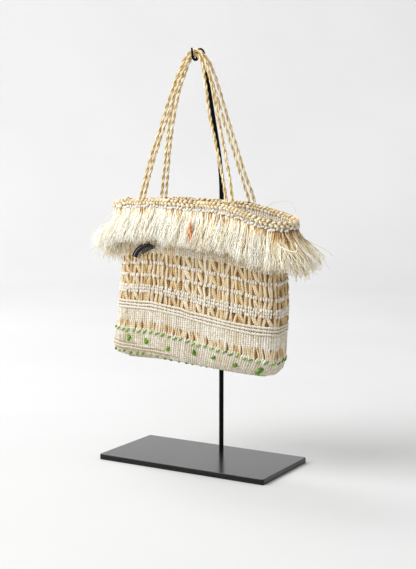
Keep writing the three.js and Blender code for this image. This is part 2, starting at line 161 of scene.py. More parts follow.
# The handles: two cords to a handle, each two plies of flax laid up by hand, run from the rim over the
# hook and back to the rim. A ply is a few yarns twisted the other way, so that the lay holds.
CORD_STEP = 0.9
CORD_EASE = 26
STRETCH_POINTS = 40
CORD_LAY = 17.0
PLY_REACH = 0.84
PLY_YARNS = 3
YARN_LAY = 24.0
YARN_REACH = 0.44
YARN_RADIUS = 0.66
YARN_TINTS = (0.32, 0.95)
TAU = 2 * math.pi
CORD_ROUTES = {
    "handle_front_outer": (
        (-52, -40, 281.9), (-47, -37, 304), (-41, -33.5, 328), (-35.5, -31, 346), (-30, -28, 366),
        (-24, -25.3, 386), (-19, -23, 402), (-13.5, -21, 415.8), (-7.2, -19.6, 427.6), (1.5, -18.6, 434.7),
        (10, -19, 430.2), (17, -20, 419.6), (22.5, -22, 406), (27.5, -24, 391), (31.5, -26, 377),
        (36.5, -28.5, 361), (42, -31, 344), (47, -33.5, 328), (51.5, -36, 312), (55.5, -38, 297),
        (59, -40, 277.6),
    ),
    "handle_front_inner": (
        (-47, -40, 282.2), (-42, -36.5, 307), (-36.5, -33.5, 328), (-31, -31, 347), (-26, -28.5, 363),
        (-21, -26, 380), (-16, -23.5, 397), (-11, -21.5, 410), (-6.4, -19.8, 423.4), (1.5, -18.45, 431),
        (8.3, -18.8, 426.2), (12.8, -19.8, 416.6), (16, -22, 404), (19.5, -24, 390), (22.5, -26, 377),
        (26, -28, 364), (30.5, -30, 350), (35.5, -32, 335), (40.5, -34.5, 320), (46, -37, 304),
        (52, -40, 279.6),
    ),
    "handle_back_outer": (
        (-56, 8, 281.7), (-51, 4.5, 304), (-46.5, 1.5, 325), (-42, -1, 346), (-37, -4, 365),
        (-31, -7, 384), (-25, -9.5, 400), (-18, -11.5, 413.8), (-9.7, -13.7, 426.2), (1.5, -14.75, 434.2),
        (11, -14.1, 429.2), (18, -12.5, 418.5), (23, -11, 405), (27.5, -9, 389), (32, -6, 371),
        (37, -3, 352), (43, 0, 331), (49, 3.5, 309), (54, 6, 294), (58.5, 8, 279.2),
    ),
    "handle_back_inner": (
        (-50.5, 8, 282), (-46, 4.5, 304), (-41.5, 1, 327), (-37, -2, 347), (-32, -5, 365),
        (-26.5, -7.5, 382), (-20.5, -10, 398), (-13.5, -12, 411.3), (-6.9, -14, 423.6), (1.5, -14.7, 430.4),
        (8.7, -14.3, 425.9), (13.1, -12.8, 415.7), (17.5, -11, 404), (21.5, -9, 391), (25.5, -6, 374),
        (30, -3, 356), (35, 0, 338), (40.5, 3, 319), (46, 5.5, 300), (52, 8, 280.2),
    ),
}
dice = np.random.default_rng(11)


def smooth_line(route, step, ease):
    """Points step mm apart on one smooth curve through a route, its bends eased a number of times."""
    route = np.array(route, float)
    route = np.vstack((2 * route[0] - route[1], route, 2 * route[-1] - route[-2]))
    share = np.linspace(0, 1, STRETCH_POINTS, endpoint=False)[:, None]
    pieces = []
    for a, b, c, d in zip(route, route[1:], route[2:], route[3:]):
        bow = (2 * a - 5 * b + 4 * c - d) * share**2 + (3 * b - a - 3 * c + d) * share**3
        pieces.append(b + ((c - a) * share + bow) / 2)
    fine = np.vstack((*pieces, route[-2:-1]))
    travelled = np.concatenate(([0], np.linalg.norm(np.diff(fine, axis=0), axis=1).cumsum()))
    even = np.linspace(0, travelled[-1], round(travelled[-1] / step) + 1)
    points = np.stack([np.interp(even, travelled, fine[:, axis]) for axis in range(3)], axis=1)
    for _ in range(ease):
        points[1:-1] = (points[:-2] + 2 * points[1:-1] + points[2:]) / 4
    return points


def carried(lines):
    """The run of each line and two directions square to it that turn no more than the line does."""
    run = np.gradient(lines, axis=1)
    run /= np.linalg.norm(run, axis=2, keepdims=True)
    upright = np.abs(run[:, 0, 2:]) > 0.9
    aside = np.cross(run[:, 0], np.where(upright, (1.0, 0.0, 0.0), (0.0, 0.0, 1.0)))
    side = np.empty_like(lines)
    for i in range(lines.shape[1]):
        aside = aside - (aside * run[:, i]).sum(axis=1, keepdims=True) * run[:, i]
        aside /= np.linalg.norm(aside, axis=1, keepdims=True)
        side[:, i] = aside
    return run, side, np.cross(run, side)


def lengths(lines):
    """How far along its line each point lies, in mm."""
    steps = np.linalg.norm(np.diff(lines, axis=1), axis=2).cumsum(axis=1)
    return np.concatenate((np.zeros((len(lines), 1)), steps), axis=1)


def wound(lines, lay, reach, phases):
    """Each line wound round as a helix: lay mm to a turn, reach mm out, starting at its phase in turns."""
    _, side, up = carried(lines)
    angle = TAU * (lengths(lines) / lay + np.asarray(phases)[:, None])[..., None]
    return lines + reach * (np.cos(angle) * side + np.sin(angle) * up)


def two_ply(line, lay, reach):
    """Two strands laid up about one line, half a turn apart."""
    return wound(np.repeat(line[None], 2, axis=0), lay, reach, (0.0, 0.5))


def strands(name, lines, radii, tints, sides=5, bleach=0.0, smooth=True):
    """One mesh of many round strands, closed at their ends. lines is (strand, point, xyz); radii in mm,
    tints from 0, darkest, to 1, palest, and bleach from 0 to 1 are (strand, point). Hair-thin strands
    are left unsmoothed. The UV map holds turns and mm along."""
    count, points = lines.shape[:2]
    radii = np.broadcast_to(radii, (count, points))
    tints = np.broadcast_to(tints, (count, points))
    _, side, up = carried(lines)
    turn = np.arange(sides + 1) / sides
    angle = TAU * turn[:-1, None]
    spokes = np.cos(angle) * side[:, :, None] + np.sin(angle) * up[:, :, None]
    rings = lines[:, :, None] + radii[:, :, None, None] * spokes
    index = np.arange(count * points * sides).reshape(count, points, sides)
    after = np.roll(index, -1, axis=2)
    quads = np.stack((index[:, :-1], after[:, :-1], after[:, 1:], index[:, 1:]), axis=-1)
    caps = np.concatenate((index[:, 0, ::-1], index[:, -1]))
    corners = np.concatenate((quads.ravel(), caps.ravel()))
    starts = np.concatenate((np.arange(0, quads.size, 4), quads.size + np.arange(0, caps.size, sides)))
    mesh = bpy.data.meshes.new(name)
    mesh.vertices.add(index.size)
    mesh.vertices.foreach_set("co", (rings * MM).astype(np.float32).ravel())
    mesh.loops.add(corners.size)
    mesh.loops.foreach_set("vertex_index", corners.astype(np.int32))
    mesh.polygons.add(starts.size)
    mesh.polygons.foreach_set("loop_start", starts.astype(np.int32))
    mesh.update(calc_edges=True)
    if smooth:
        mesh.shade_smooth()
    for attribute, values in (("tint", tints), ("bleach", np.broadcast_to(bleach, (count, points)))):
        held = mesh.attributes.new(attribute, "FLOAT", "POINT")
        held.data.foreach_set("value", np.repeat(values, sides).astype(np.float32))
    along = np.broadcast_to(lengths(lines)[:, :, None], (count, points, sides))
    around = np.broadcast_to(turn, (count, points, sides + 1))
    quad_u = np.stack((around[:, :-1, :-1], around[:, :-1, 1:], around[:, 1:, 1:], around[:, 1:, :-1]),
                      axis=-1)
    quad_v = np.stack((along[:, :-1], along[:, :-1], along[:, 1:], along[:, 1:]), axis=-1)
    flat = np.zeros((corners.size, 2), np.float32)
    flat[:quads.size] = np.stack((quad_u, quad_v), axis=-1).reshape(-1, 2)
    mesh.uv_layers.new(name="strand").data.foreach_set("uv", flat.ravel())
    piece = bpy.data.objects.new(name, mesh)
    bpy.context.scene.collection.objects.link(piece)
    return piece


# Flax: streaks round a strand, the weights of streaks and patches in its colour, of beads in its relief
STREAKS_ROUND = 7.0
STREAK_WEIGHT = 0.34
PATCH_WEIGHT = 0.3
BEAD_WEIGHT = 1.5


def flax(name, stops, streak=4.0, beads=0.0, patch=9.0, depth=0.12, bleached=()):
    """Flax fibre: dull and matt, with streaks of the fibres along each strand and paler or darker
    patches. stops colour the tints; streak and patch are lengths in mm, and beads the mm from one
    crossing of the weft to the next, drawn as a ripple in the relief. bleached colours the strands
    that were bleached before they were twined."""
    material, tree = empty_material(name)
    tint = add_node(tree, "ShaderNodeAttribute", attribute_name="tint").outputs["Fac"]
    strand = add_node(tree, "ShaderNodeUVMap", uv_map="strand").outputs["UV"]
    stretch = add_node(tree, "ShaderNodeMapping",
                       {"Vector": strand, "Scale": (STREAKS_ROUND, 1 / streak, 1.0)})
    streaks = add_node(tree, "ShaderNodeTexNoise", {"Vector": stretch.outputs["Vector"], "Scale": 1.0})
    place = add_node(tree, "ShaderNodeTexCoord").outputs["Object"]
    patches = add_node(tree, "ShaderNodeTexNoise", {"Vector": place, "Scale": 1 / (patch * MM)})
    lifted = add_node(tree, "ShaderNodeMath", {0: streaks.outputs["Fac"], 1: STREAK_WEIGHT, 2: tint},
                      operation="MULTIPLY_ADD")
    varied = add_node(tree, "ShaderNodeMath",
                      {0: patches.outputs["Fac"], 1: PATCH_WEIGHT, 2: lifted.outputs[0]},
                      operation="MULTIPLY_ADD")
    centred = add_node(tree, "ShaderNodeMath",
                       {0: varied.outputs[0], 1: (STREAK_WEIGHT + PATCH_WEIGHT) / 2}, operation="SUBTRACT")
    colour = add_node(tree, "ShaderNodeValToRGB", {"Fac": centred.outputs[0]}, stops)
    if bleached:
        bleach = add_node(tree, "ShaderNodeAttribute", attribute_name="bleach").outputs["Fac"]
        pale = add_node(tree, "ShaderNodeValToRGB", {"Fac": centred.outputs[0]}, bleached)
        colour = add_node(tree, "ShaderNodeMixRGB", {"Fac": bleach, "Color1": colour.outputs["Color"],
                                                     "Color2": pale.outputs["Color"]})
    relief = streaks.outputs["Fac"]
    if beads:
        ripple = add_node(tree, "ShaderNodeTexWave", {"Vector": strand, "Scale": TAU / 20 / beads},
                          bands_direction="Y")
        relief = add_node(tree, "ShaderNodeMath", {0: ripple.outputs["Fac"], 1: BEAD_WEIGHT, 2: relief},
                          operation="MULTIPLY_ADD").outputs[0]
    bump = add_node(tree, "ShaderNodeBump", {"Height": relief, "Strength": 0.6, "Distance": depth * MM})
    surface = add_node(tree, "ShaderNodeBsdfPrincipled",
                       {"Base Color": colour.outputs["Color"], "Roughness": 0.72, "Sheen Weight": 0.15,
                        "Normal": bump.outputs["Normal"]})
    add_node(tree, "ShaderNodeOutputMaterial", {"Surface": surface.outputs["BSDF"]})
    return material


def fit(piece, material, slot, *nodes):
    """Gives a piece its material and its body, and hides the nodes that it replaces; slot is not used."""
    piece.data.materials.append(material)
    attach(piece, "root")
    if nodes:
        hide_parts(*nodes)


CORD_TONES = ((0.0, "#8a6428"), (0.3, "#b99654"), (0.6, "#d8c290"), (0.85, "#ebdfc0"), (1.0, "#f5eedb"))
laid_flax = flax("laid_flax_cord", CORD_TONES)
for handle_name, route in CORD_ROUTES.items():
    axis = smooth_line(route, CORD_STEP, CORD_EASE)
    plies = two_ply(axis, CORD_LAY, PLY_REACH)
    yarn_phases = np.tile(np.arange(PLY_YARNS) / PLY_YARNS, 2)
    yarns = wound(np.repeat(plies, PLY_YARNS, axis=0), -YARN_LAY, YARN_REACH, yarn_phases)
    yarn_tints = dice.uniform(*YARN_TINTS, (len(yarns), 1))
    handle = strands(handle_name + "_cord", yarns, YARN_RADIUS, yarn_tints)
    fit(handle, laid_flax, "flax_cord", handle_name)

# The stand: a cut steel plate and one bent rod, both powder coated black. The coat shows a fine orange
# peel close to. On the rod it is dull; the plate is rubbed to a satin that mirrors the paper at a slant.
COAT_PEEL = 0.9
PEEL_DEPTH = 0.02
COAT_CLOUD = 45.0
# Coats: node, index of refraction, roughness from and to, weight of the wax over it
COATS = (("post", 1.15, 0.42, 0.5, 0.0), ("base_plate", 1.2, 0.22, 0.28, 1.0))


def black_coat(name, ior, smoothest, roughest, wax):
    """Black powder coat on steel: a dielectric skin with a fine peel and faintly uneven gloss."""
    material, tree = empty_material(name)
    place = add_node(tree, "ShaderNodeTexCoord").outputs["Object"]
    peel = add_node(tree, "ShaderNodeTexNoise", {"Vector": place, "Scale": 1 / (COAT_PEEL * MM)})
    cloud = add_node(tree, "ShaderNodeTexNoise", {"Vector": place, "Scale": 1 / (COAT_CLOUD * MM)})
    colour = add_node(tree, "ShaderNodeValToRGB", {"Fac": cloud.outputs["Fac"]},
                      ((0.35, "#0a0a0a"), (0.65, "#101011")))
    gloss = add_node(tree, "ShaderNodeMapRange",
                     {"Value": cloud.outputs["Fac"], "To Min": smoothest, "To Max": roughest})
    bump = add_node(tree, "ShaderNodeBump",
                    {"Height": peel.outputs["Fac"], "Strength": 0.25, "Distance": PEEL_DEPTH * MM})
    surface = add_node(tree, "ShaderNodeBsdfPrincipled",
                       {"Base Color": colour.outputs["Color"], "Roughness": gloss.outputs["Result"],
                        "IOR": ior, "Coat Weight": wax, "Coat IOR": 1.27, "Coat Roughness": 0.16,
                        "Normal": bump.outputs["Normal"]})
    add_node(tree, "ShaderNodeOutputMaterial", {"Surface": surface.outputs["BSDF"]})
    return material


for node_name, *coat in COATS:
    node_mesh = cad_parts[node_name].data
    node_mesh.materials.clear()
    node_mesh.materials.append(black_coat("black_coat_" + node_name, *coat))

# The wall: upright warps of flax round the whole bag, from the seam under its floor to the rim. Where
# the weft is packed they swell to touching ribs; in the openwork they thin out, lean and cross.
MIDDLE_X = 8.0
DROOP_START = 30.0
DROOP_END = 110.0
LEVEL_STEP = 0.5
WALL_COLUMNS = 960
LOOP_POINTS = 2001
GIRTH_LEVEL = 180.0
# Rows from the seam up: height, tilt, drop left, drop right, back rise, left, right, front, back, square
WALL_ROWS = np.array((
    (108.6, -0.08, 5, -1.8, 2, -84, 85, -16.4, -15.6, 2.6),
    (109.4, -0.08, 5, -1.8, 2, -88, 89, -23, -9, 2.6),
    (111.8, -0.085, 5, -1.8, 2, -95.5, 96, -34, 2, 3),
    (119, -0.1, 4, -1, 3, -98, 101, -37.5, 5.5, 3.4),
    (135, -0.16, 7.5, 3.5, 8, -93.4, 103, -40, 8, 4),
    (146, -0.168, 10.5, -1, 8, -91.3, 103.5, -40, 8, 4),
    (167, -0.164, 9.6, -2.5, 6, -89, 104.5, -40, 8, 4),
    (182, -0.165, 11.5, -2, 6, -87.2, 105, -40, 8, 4),
    (198, -0.105, 6, 7.5, 8, -85.8, 105, -40, 8, 4),
    (211.5, -0.12, 11, 3, 8, -84.2, 104, -40, 8, 4),
    (222.5, -0.085, 11.5, 9, 8, -84, 104, -40, 8, 4),
    (250, -0.08, 7, 14, 8, -87, 107, -40.5, 8.5, 3.6),
    (274, -0.07, 6.5, 15.5, 9, -92, 113, -41, 9, 3.2),
    (279, -0.05, 6, 18, 9, -92, 113, -41, 9, 3.2),
))


def drooped(x, towards_back, height, tilt, drop_left, drop_right, back_rise):
    """Heights along one row, which tilts about MIDDLE_X and droops to its ends, less at the back right."""
    from_middle = x - MIDDLE_X
    drop = np.where(from_middle < 0, drop_left, drop_right - back_rise * towards_back)
    ease = np.clip((np.abs(from_middle) - DROOP_START) / (DROOP_END - DROOP_START), 0, 1)
    return height + tilt * from_middle - drop * ease**2 * (3 - 2 * ease)


def row_loop(level):
    """One level of the wall's outer face: even points round a rounded oblong that tilts and droops."""
    row = [np.interp(level, WALL_ROWS[:, 0], column) for column in WALL_ROWS.T]
    *droop, left, right, front, back, square = row
    angle = np.linspace(0, TAU, LOOP_POINTS)
    along, across = (np.sign(wave) * np.abs(wave) ** (2 / square)
                     for wave in (np.cos(angle), np.sin(angle)))
    x = (left + right) / 2 - along * (right - left) / 2
    y = (front + back) / 2 - across * (back - front) / 2
    points = np.stack((x, y, drooped(x, (y - front) / (back - front), *droop)), axis=1)
    travelled = lengths(points[None])[0]
    even = np.arange(WALL_COLUMNS) / WALL_COLUMNS * travelled[-1]
    return np.stack([np.interp(even, travelled, points[:, axis]) for axis in range(3)], axis=1)


LEVELS = np.arange(WALL_ROWS[0, 0], WALL_ROWS[-1, 0] + LEVEL_STEP / 2, LEVEL_STEP)
FACE = np.stack([row_loop(level) for level in LEVELS])
FACING = np.cross(np.roll(FACE, -1, axis=1) - np.roll(FACE, 1, axis=1), np.gradient(FACE, axis=0))
FACING /= np.linalg.norm(FACING, axis=2, keepdims=True)
GIRTH = np.linalg.norm(np.diff(row_loop(GIRTH_LEVEL), axis=0), axis=1).sum()


def wall(turn, level, out=0.0):
    """Points on the wall at turns round it, 0 at the left end and 0.25 at the front's middle, at levels
    named by their height at MIDDLE_X, and out mm proud of the outer face."""
    turn, level, out = np.broadcast_arrays(turn, level, out)
    column = turn % 1 * WALL_COLUMNS
    row = np.clip((level - LEVELS[0]) / LEVEL_STEP, 0, len(LEVELS) - 1.001)
    c, r = column.astype(int) % WALL_COLUMNS, row.astype(int)
    past_c, past_r = (column - np.floor(column))[..., None], (row - r)[..., None]
    beside = (c + 1) % WALL_COLUMNS

    def between(grid):
        low = grid[r, c] * (1 - past_c) + grid[r, beside] * past_c
        high = grid[r + 1, c] * (1 - past_c) + grid[r + 1, beside] * past_c
        return low * (1 - past_r) + high * past_r

    return between(FACE) + out[..., None] * between(FACING)


WARPS = 168
GROUP = 6
WARP_STEP = 1.5
WARP_TOP = 278.0
WARP_SIDES = 6
WARP_SINK = 1.1
# Openwork from the hem up, as the levels of its foot and head
OPENWORK = ((138.8, 146), (168.6, 178), (186.3, 196), (200, 209.6), (213.4, 222.5))
# Levels where every warp stands straight
STRAIGHT_LEVELS = (107.0, 136.0, 147.5, 167.6, 224.0, 279.0)
# How a warp looks up the wall: level, radius, tint, how far the weft round it is bleached
WARP_LOOKS = np.array((
    (107, 1.45, 0.72, 1), (131, 1.5, 0.74, 1), (132.5, 1.46, 0.8, 1), (137.8, 1.42, 0.8, 1),
    (139.3, 1.12, 0.68, 0.16), (144.5, 1.12, 0.68, 0.16), (146.5, 1.42, 0.8, 1), (158, 1.42, 0.8, 1),
    (159.5, 1.2, 0.6, 1), (168, 1.1, 0.6, 0.5), (169.5, 1.1, 0.68, 0.08), (222, 1.1, 0.68, 0.08),
    (224, 1.45, 0.74, 0.5), (238, 1.45, 0.74, 0.5), (242, 1.45, 0.5, 0.1), (256, 1.45, 0.5, 0.1),
    (260, 1.45, 1.05, 0.5), (279, 1.45, 1.05, 0.5),
))
# In the openwork the warps draw together in pairs, and the last pair of a group leans as one bundle.
# Leans: share of the groups up to which it holds, then the lean at foot and head of those two warps, in
# mm to the right
LEANS = ((0.7, (2.3, 2.7), (-1.9, -1.5)), (1.0, (-0.7, -0.9), (0.6, 0.4)))
LEAN_BOWS = (1.1, 0.7)
LEAN_SWELL = 0.25
PAIR_DRAW = 0.6
PAIR_SWING = 0.6
LUCK_SHIFT = 0.12
# How far any warp strays aside in the openwork, and the mean and spread of its bow outwards
WARP_STRAY = 0.35
WARP_BOW = (-0.1, 0.3)
# In the lowest openwork they gather in bundles, which lean at the foot: warps to a bundle, lean, then how
# far they draw together and how much the bundles vary, at foot and head
BUNDLE = 3
BUNDLE_LEAN = 1.2
BUNDLE_DRAWS = (0.55, 0.22)
BUNDLE_SPREADS = (0.9, 0.6)
# The head of that openwork is ragged: its level, how far up and down, spread of the warps and the bundles
RAGGED = (146.5, 5.0, 0.8, 1.7)
# It closes up to a thin row at the left end: its middle level, how far up and down, then turns and shares
WEDGE = (142.0, 6.0, (0.0, 0.03, 0.13, 0.9, 1.0), (1.0, 1.0, 0.0, 0.0, 1.0))
# How much radius and tint vary from warp to warp, the tint along one where the weft is packed round it,
# and what is added to it in the openwork
RADIUS_SPREAD = 0.07
TINT_SPREAD = 0.09
WARP_GRAIN = 0.1
OPENWORK_TINTS = (-0.12, 0.0, 0.1)

warp_turn = np.arange(WARPS) / WARPS
in_group = np.arange(WARPS) % GROUP
group_of = np.arange(WARPS) // GROUP
warp_levels = np.arange(WALL_ROWS[0, 0], WARP_TOP, WARP_STEP)
group_luck = dice.random(WARPS // GROUP)
sways = [(level, np.zeros(WARPS)) for level in STRAIGHT_LEVELS]
warp_out = np.full((WARPS, warp_levels.size), -WARP_SINK)
for foot, head in OPENWORK:
    at_foot = dice.normal(0, WARP_STRAY, WARPS)
    at_head = dice.normal(0, WARP_STRAY, WARPS)
    bow = dice.normal(*WARP_BOW, WARPS)
    if foot == OPENWORK[0][0]:
        inwards = 1 - np.arange(WARPS) % BUNDLE
        swung = [dice.normal(0, spread, WARPS // BUNDLE).repeat(BUNDLE) for spread in BUNDLE_SPREADS]
        at_foot += BUNDLE_DRAWS[0] * inwards + swung[0] + BUNDLE_LEAN
        at_head += BUNDLE_DRAWS[1] * inwards + swung[1]
    else:
        drawn = np.where(in_group % 2 == 0, PAIR_DRAW, -PAIR_DRAW)
        swung = dice.normal(0, PAIR_SWING, (2, WARPS // 2)).repeat(2, axis=1)
        at_foot += drawn + swung[0]
        at_head += drawn + swung[1]
        luck = (group_luck + dice.uniform(-LUCK_SHIFT, LUCK_SHIFT, group_luck.size)) % 1
        for least, (share, feet, heads) in zip((0, *[lean[0] for lean in LEANS]), LEANS):
            leaning = (luck[group_of] >= least) & (luck[group_of] < share)
            for place in (0, 1):
                chosen = leaning & (in_group == GROUP - 2 + place)
                at_foot[chosen] += feet[place]
                at_head[chosen] += heads[place]
                bow[chosen] = LEAN_BOWS[place]
    sways += [(foot, at_foot), (head, at_head)]
    warp_out += bow[:, None] * np.sin(math.pi * np.clip((warp_levels - foot) / (head - foot), 0, 1))
sways.sort(key=lambda sway: sway[0])


def warp_sway(level):
    """How far each warp leans to the right of its place at a level or levels, in mm."""
    levels = [at for at, _ in sways]
    return np.array([np.interp(level, levels, leans) for leans in np.array([sway for _, sway in sways]).T])


ragged_level, ragged_reach, ragged_warps, ragged_bundles = RAGGED
ragged = dice.normal(0, ragged_warps, (WARPS, 1))
ragged = ragged + dice.normal(0, ragged_bundles, (WARPS // BUNDLE, 1)).repeat(BUNDLE, axis=0)
look_levels = warp_levels + ragged * np.exp(-((warp_levels - ragged_level) / ragged_reach) ** 2)
wedge_level, wedge_reach, *wedge_turns = WEDGE
from_wedge = warp_levels - wedge_level
closing = np.interp(warp_turn, *wedge_turns)[:, None]
look_levels = look_levels + closing * from_wedge * np.exp(-(from_wedge / wedge_reach) ** 2)
warp_radii, warp_tints, warp_bleach = (np.interp(look_levels, WARP_LOOKS[:, 0], look)
                                       for look in WARP_LOOKS.T[1:])
warp_radii = warp_radii * dice.normal(1, RADIUS_SPREAD, (WARPS, 1))
warp_tints = warp_tints + dice.normal(0, TINT_SPREAD, (WARPS, 1))
in_openwork = sum(np.clip(np.minimum(warp_levels - foot, head - warp_levels), 0, 1)
                  for foot, head in OPENWORK)
warp_tints = warp_tints + in_openwork * dice.choice(OPENWORK_TINTS, WARPS)[:, None]
warp_tints = warp_tints + dice.normal(0, WARP_GRAIN, warp_tints.shape) * (1 - np.minimum(in_openwork, 1))
warp_radii = warp_radii * (1 + LEAN_SWELL * in_openwork * (in_group >= GROUP - 2)[:, None])
warp_lines = wall(warp_turn[:, None] + warp_sway(warp_levels) / GIRTH, warp_levels[None], warp_out)

FLAX_TONES = ((0.0, "#6b4a1e"), (0.22, "#946e38"), (0.42, "#b89254"), (0.58, "#cbad78"), (0.72, "#d8c299"),
              (0.86, "#e0d3ba"), (1.0, "#eae2d2"))
BLEACHED_TONES = ((0.0, "#7a6644"), (0.3, "#ac9c7c"), (0.55, "#c6b99c"), (0.8, "#d4cbb9"), (1.0, "#e5dfd3"))
twined_flax = flax("twined_flax", FLAX_TONES, beads=2.4, depth=0.32, bleached=BLEACHED_TONES)
front = np.arange(WARPS) < WARPS // 2
for side_name, chosen in (("front", front), ("back", ~front)):
    warps = strands(side_name + "_warps", warp_lines[chosen], warp_radii[chosen], warp_tints[chosen],
                    WARP_SIDES, warp_bleach[chosen])
    fit(warps, twined_flax, "twined_flax", "bag_body")

# Behind the openwork a second set of warps, further in and painted darker as the shade inside the bag,
# closes most of the gaps, and only thin brown slits of that painted shade are left between them.
INNER_SINK = 2.2
INNER_RADIUS = 1.55
INNER_POINTS = 7
INNER_OVERLAP = 2.0
# How far they stray as a share of their spacing, how far they lean in mm, and their tints, a painted
# shade that is darker still in the lowest row
INNER_STRAY = 0.12
INNER_LEAN = 0.5
INNER_SHADE_TINTS = (0.04, 0.32)
LOWEST_PAINTED_SHADE = 0.1
for number, (foot, head) in enumerate(OPENWORK):
    inner_levels = np.linspace(foot - INNER_OVERLAP, head + INNER_OVERLAP, INNER_POINTS)
    inner_turn = (np.arange(WARPS) + 0.5 + dice.normal(0, INNER_STRAY, WARPS)) / WARPS
    inner_sway = dice.normal(0, INNER_LEAN, (WARPS, 1)) * np.linspace(-1, 1, INNER_POINTS)
    inner_lines = wall(inner_turn[:, None] + inner_sway / GIRTH, inner_levels[None], -INNER_SINK)
    # The dark tints paint the shade inside the bag, deeper in the lowest row
    inner_shade_tints = dice.uniform(*INNER_SHADE_TINTS, (WARPS, 1)) - (LOWEST_PAINTED_SHADE if number == 0 else 0.0)
    inner = strands(f"inner_warps_{number}", inner_lines, INNER_RADIUS, inner_shade_tints)
    fit(inner, twined_flax, "twined_flax", "bag_body")

# The white weft: short ticks of bleached flax that bind the warps in broken rows, three rows deep in the
# widest one, and below them three lines twined right round the bag.
TICK_RADIUS = 1.24
TICK_SINK = 0.75
TICK_BULGE = 1.0
TICK_SHAPE = np.array((0.7, 0.97, 1.0, 0.97, 0.7))
# Rows of ticks: level, how many warps of a group are bound, length of a tick
TICK_ROWS = ((211.5, 5, 3.9), (197.9, 5, 3.9), (185.3, 5, 3.3), (182.1, 6, 3.3), (178.9, 5, 3.3))
# How ticks vary: share that is missing, share of the warp's lean that they follow, spread of place and
# level, mean and spread of how far they slant, then shares of length and radius and tints from and to
TICKS_MISSING = 0.04
TICK_FOLLOWS = 0.15
TICK_STRAY = 0.15
TICK_LEVELS = 0.22
TICK_SLANTS = (0.2, 0.5)
TICK_LENGTHS = (0.8, 1.2)
TICK_RADII = (0.88, 1.1)
TICK_TINTS = (0.76, 1.0)
# The weft that joins the ticks lies behind them
WEFT_SINK = 1.5
WEFT_REACH = 0.5
WEFT_RADIUS = 0.5
WEFT_TINT = 0.8
LINE_LEVELS = (167.2, 163.9, 160.6)
LINE_PROUD = 0.1
LINE_TINTS = (0.72, 0.88)
LINE_LAY = 11.0
LINE_RADIUS = 0.95
LINE_REACH = 0.5
LINE_WAVER = 0.3
# Rings start at the back and overlap a little there: turn, turns round, mm between points, points from one
# swing of a waver to the next
RING_START = 0.72
RING_SPAN = 1.01
RING_STEP = 1.0
WAVER_POINTS = 12


def laid(turn, level, run, rise, out, bulge, points=5):
    """Short lines that lie on the wall, run mm along it and rise mm up it, bulging in the middle."""
    share = np.linspace(-0.5, 0.5, points)
    turn, level, run, rise = (np.asarray(value, float)[:, None] for value in (turn, level, run, rise))
    proud = out + bulge * np.cos(math.pi * share) * np.ones_like(turn)
    return wall(turn + run * share / GIRTH, level + rise * share, proud)


def ring_lines(level, out, lay, reach, waver=0.0, start=RING_START, span=RING_SPAN):
    """Two strands twined about each other round the wall at one level, which wavers up and down."""
    count = round(GIRTH * span / RING_STEP)
    turns = np.linspace(start, start + span, count)
    knots = np.linspace(0, count, round(count / WAVER_POINTS))
    level = level + np.interp(np.arange(count), knots, dice.normal(0, 1, knots.size)) * waver
    return two_ply(wall(turns, level, out), lay, reach)


tick_lines, tick_tints = [], []
for level, bound, tick_length in TICK_ROWS:
    kept = (in_group >= GROUP - bound) & (dice.random(WARPS) > TICKS_MISSING)
    aside = warp_sway([level])[:, 0] * TICK_FOLLOWS + dice.normal(0, TICK_STRAY, WARPS)
    tick_levels = level + dice.normal(0, TICK_LEVELS, WARPS)
    rise = tick_length * dice.uniform(*TICK_LENGTHS, WARPS)
    run = dice.normal(*TICK_SLANTS, WARPS)
    tick_lines.append(laid(warp_turn + aside / GIRTH, tick_levels, run, rise, -TICK_SINK, TICK_BULGE)[kept])
    tick_tints.append(dice.uniform(*TICK_TINTS, (kept.sum(), 1)))
tick_lines = np.concatenate(tick_lines)
tick_radii = TICK_RADIUS * TICK_SHAPE * dice.uniform(*TICK_RADII, (len(tick_lines), 1))
ticks = strands("white_ticks", tick_lines, tick_radii, np.concatenate(tick_tints), WARP_SIDES, 1.0)
fit(ticks, twined_flax, "twined_flax")

weft_lines = np.concatenate([ring_lines(level, -WEFT_SINK, 2 * GIRTH / WARPS, WEFT_REACH)
                             for level, *_ in TICK_ROWS])
weft = strands("hidden_weft", weft_lines, WEFT_RADIUS, WEFT_TINT, 4, 1.0)
fit(weft, twined_flax, "twined_flax")

line_lines = np.concatenate([ring_lines(level, LINE_PROUD, LINE_LAY, LINE_REACH, LINE_WAVER)
                             for level in LINE_LEVELS])
line_tints = dice.uniform(*LINE_TINTS, (len(line_lines), 1))
triple_line = strands("triple_line", line_lines, LINE_RADIUS, line_tints, bleach=1.0)
fit(triple_line, twined_flax, "twined_flax")

# The hem: at the left a few twined lines show in the beige band, and the warps of front and back meet
# under the floor in a seam that is overcast with one thick strand.
HEM_LINE_START = -0.03
HEM_LINE_LAY = 5.0
HEM_LINE_REACH = 0.3
HEM_LINE_RADIUS = 0.4
SEAM_TURNS = (0.005, 0.495)
SEAM_POINTS = 180
SEAM_LAY = 7.0
SEAM_REACH = 0.7
SEAM_RADIUS = 1.1
SEAM_TINT = 0.6
# Lines in the hem: level, turns from HEM_LINE_START to where it dies out, tint
HEM_LINES = ((122.8, 0.14, 0.2), (121.2, 0.2, 0.85), (119.6, 0.22, 0.2), (118.0, 0.24, 0.85),
             (116.6, 0.26, 0.25))
for number, (level, span, tint) in enumerate(HEM_LINES):
    hem_lines = ring_lines(level, LINE_PROUD, HEM_LINE_LAY, HEM_LINE_REACH, LINE_WAVER,
                           HEM_LINE_START, span)
    hem_line = strands(f"hem_line_{number}", hem_lines, HEM_LINE_RADIUS, tint, bleach=1.0)
    fit(hem_line, twined_flax, "twined_flax")

seam_turns = np.linspace(*SEAM_TURNS, SEAM_POINTS)
seam_middle = (wall(seam_turns, LEVELS[0]) + wall(1 - seam_turns, LEVELS[0])) / 2
seam_lines = two_ply(seam_middle, SEAM_LAY, SEAM_REACH)
seam = strands("floor_seam", seam_lines, SEAM_RADIUS, SEAM_TINT, bleach=1.0)
fit(seam, twined_flax, "twined_flax")

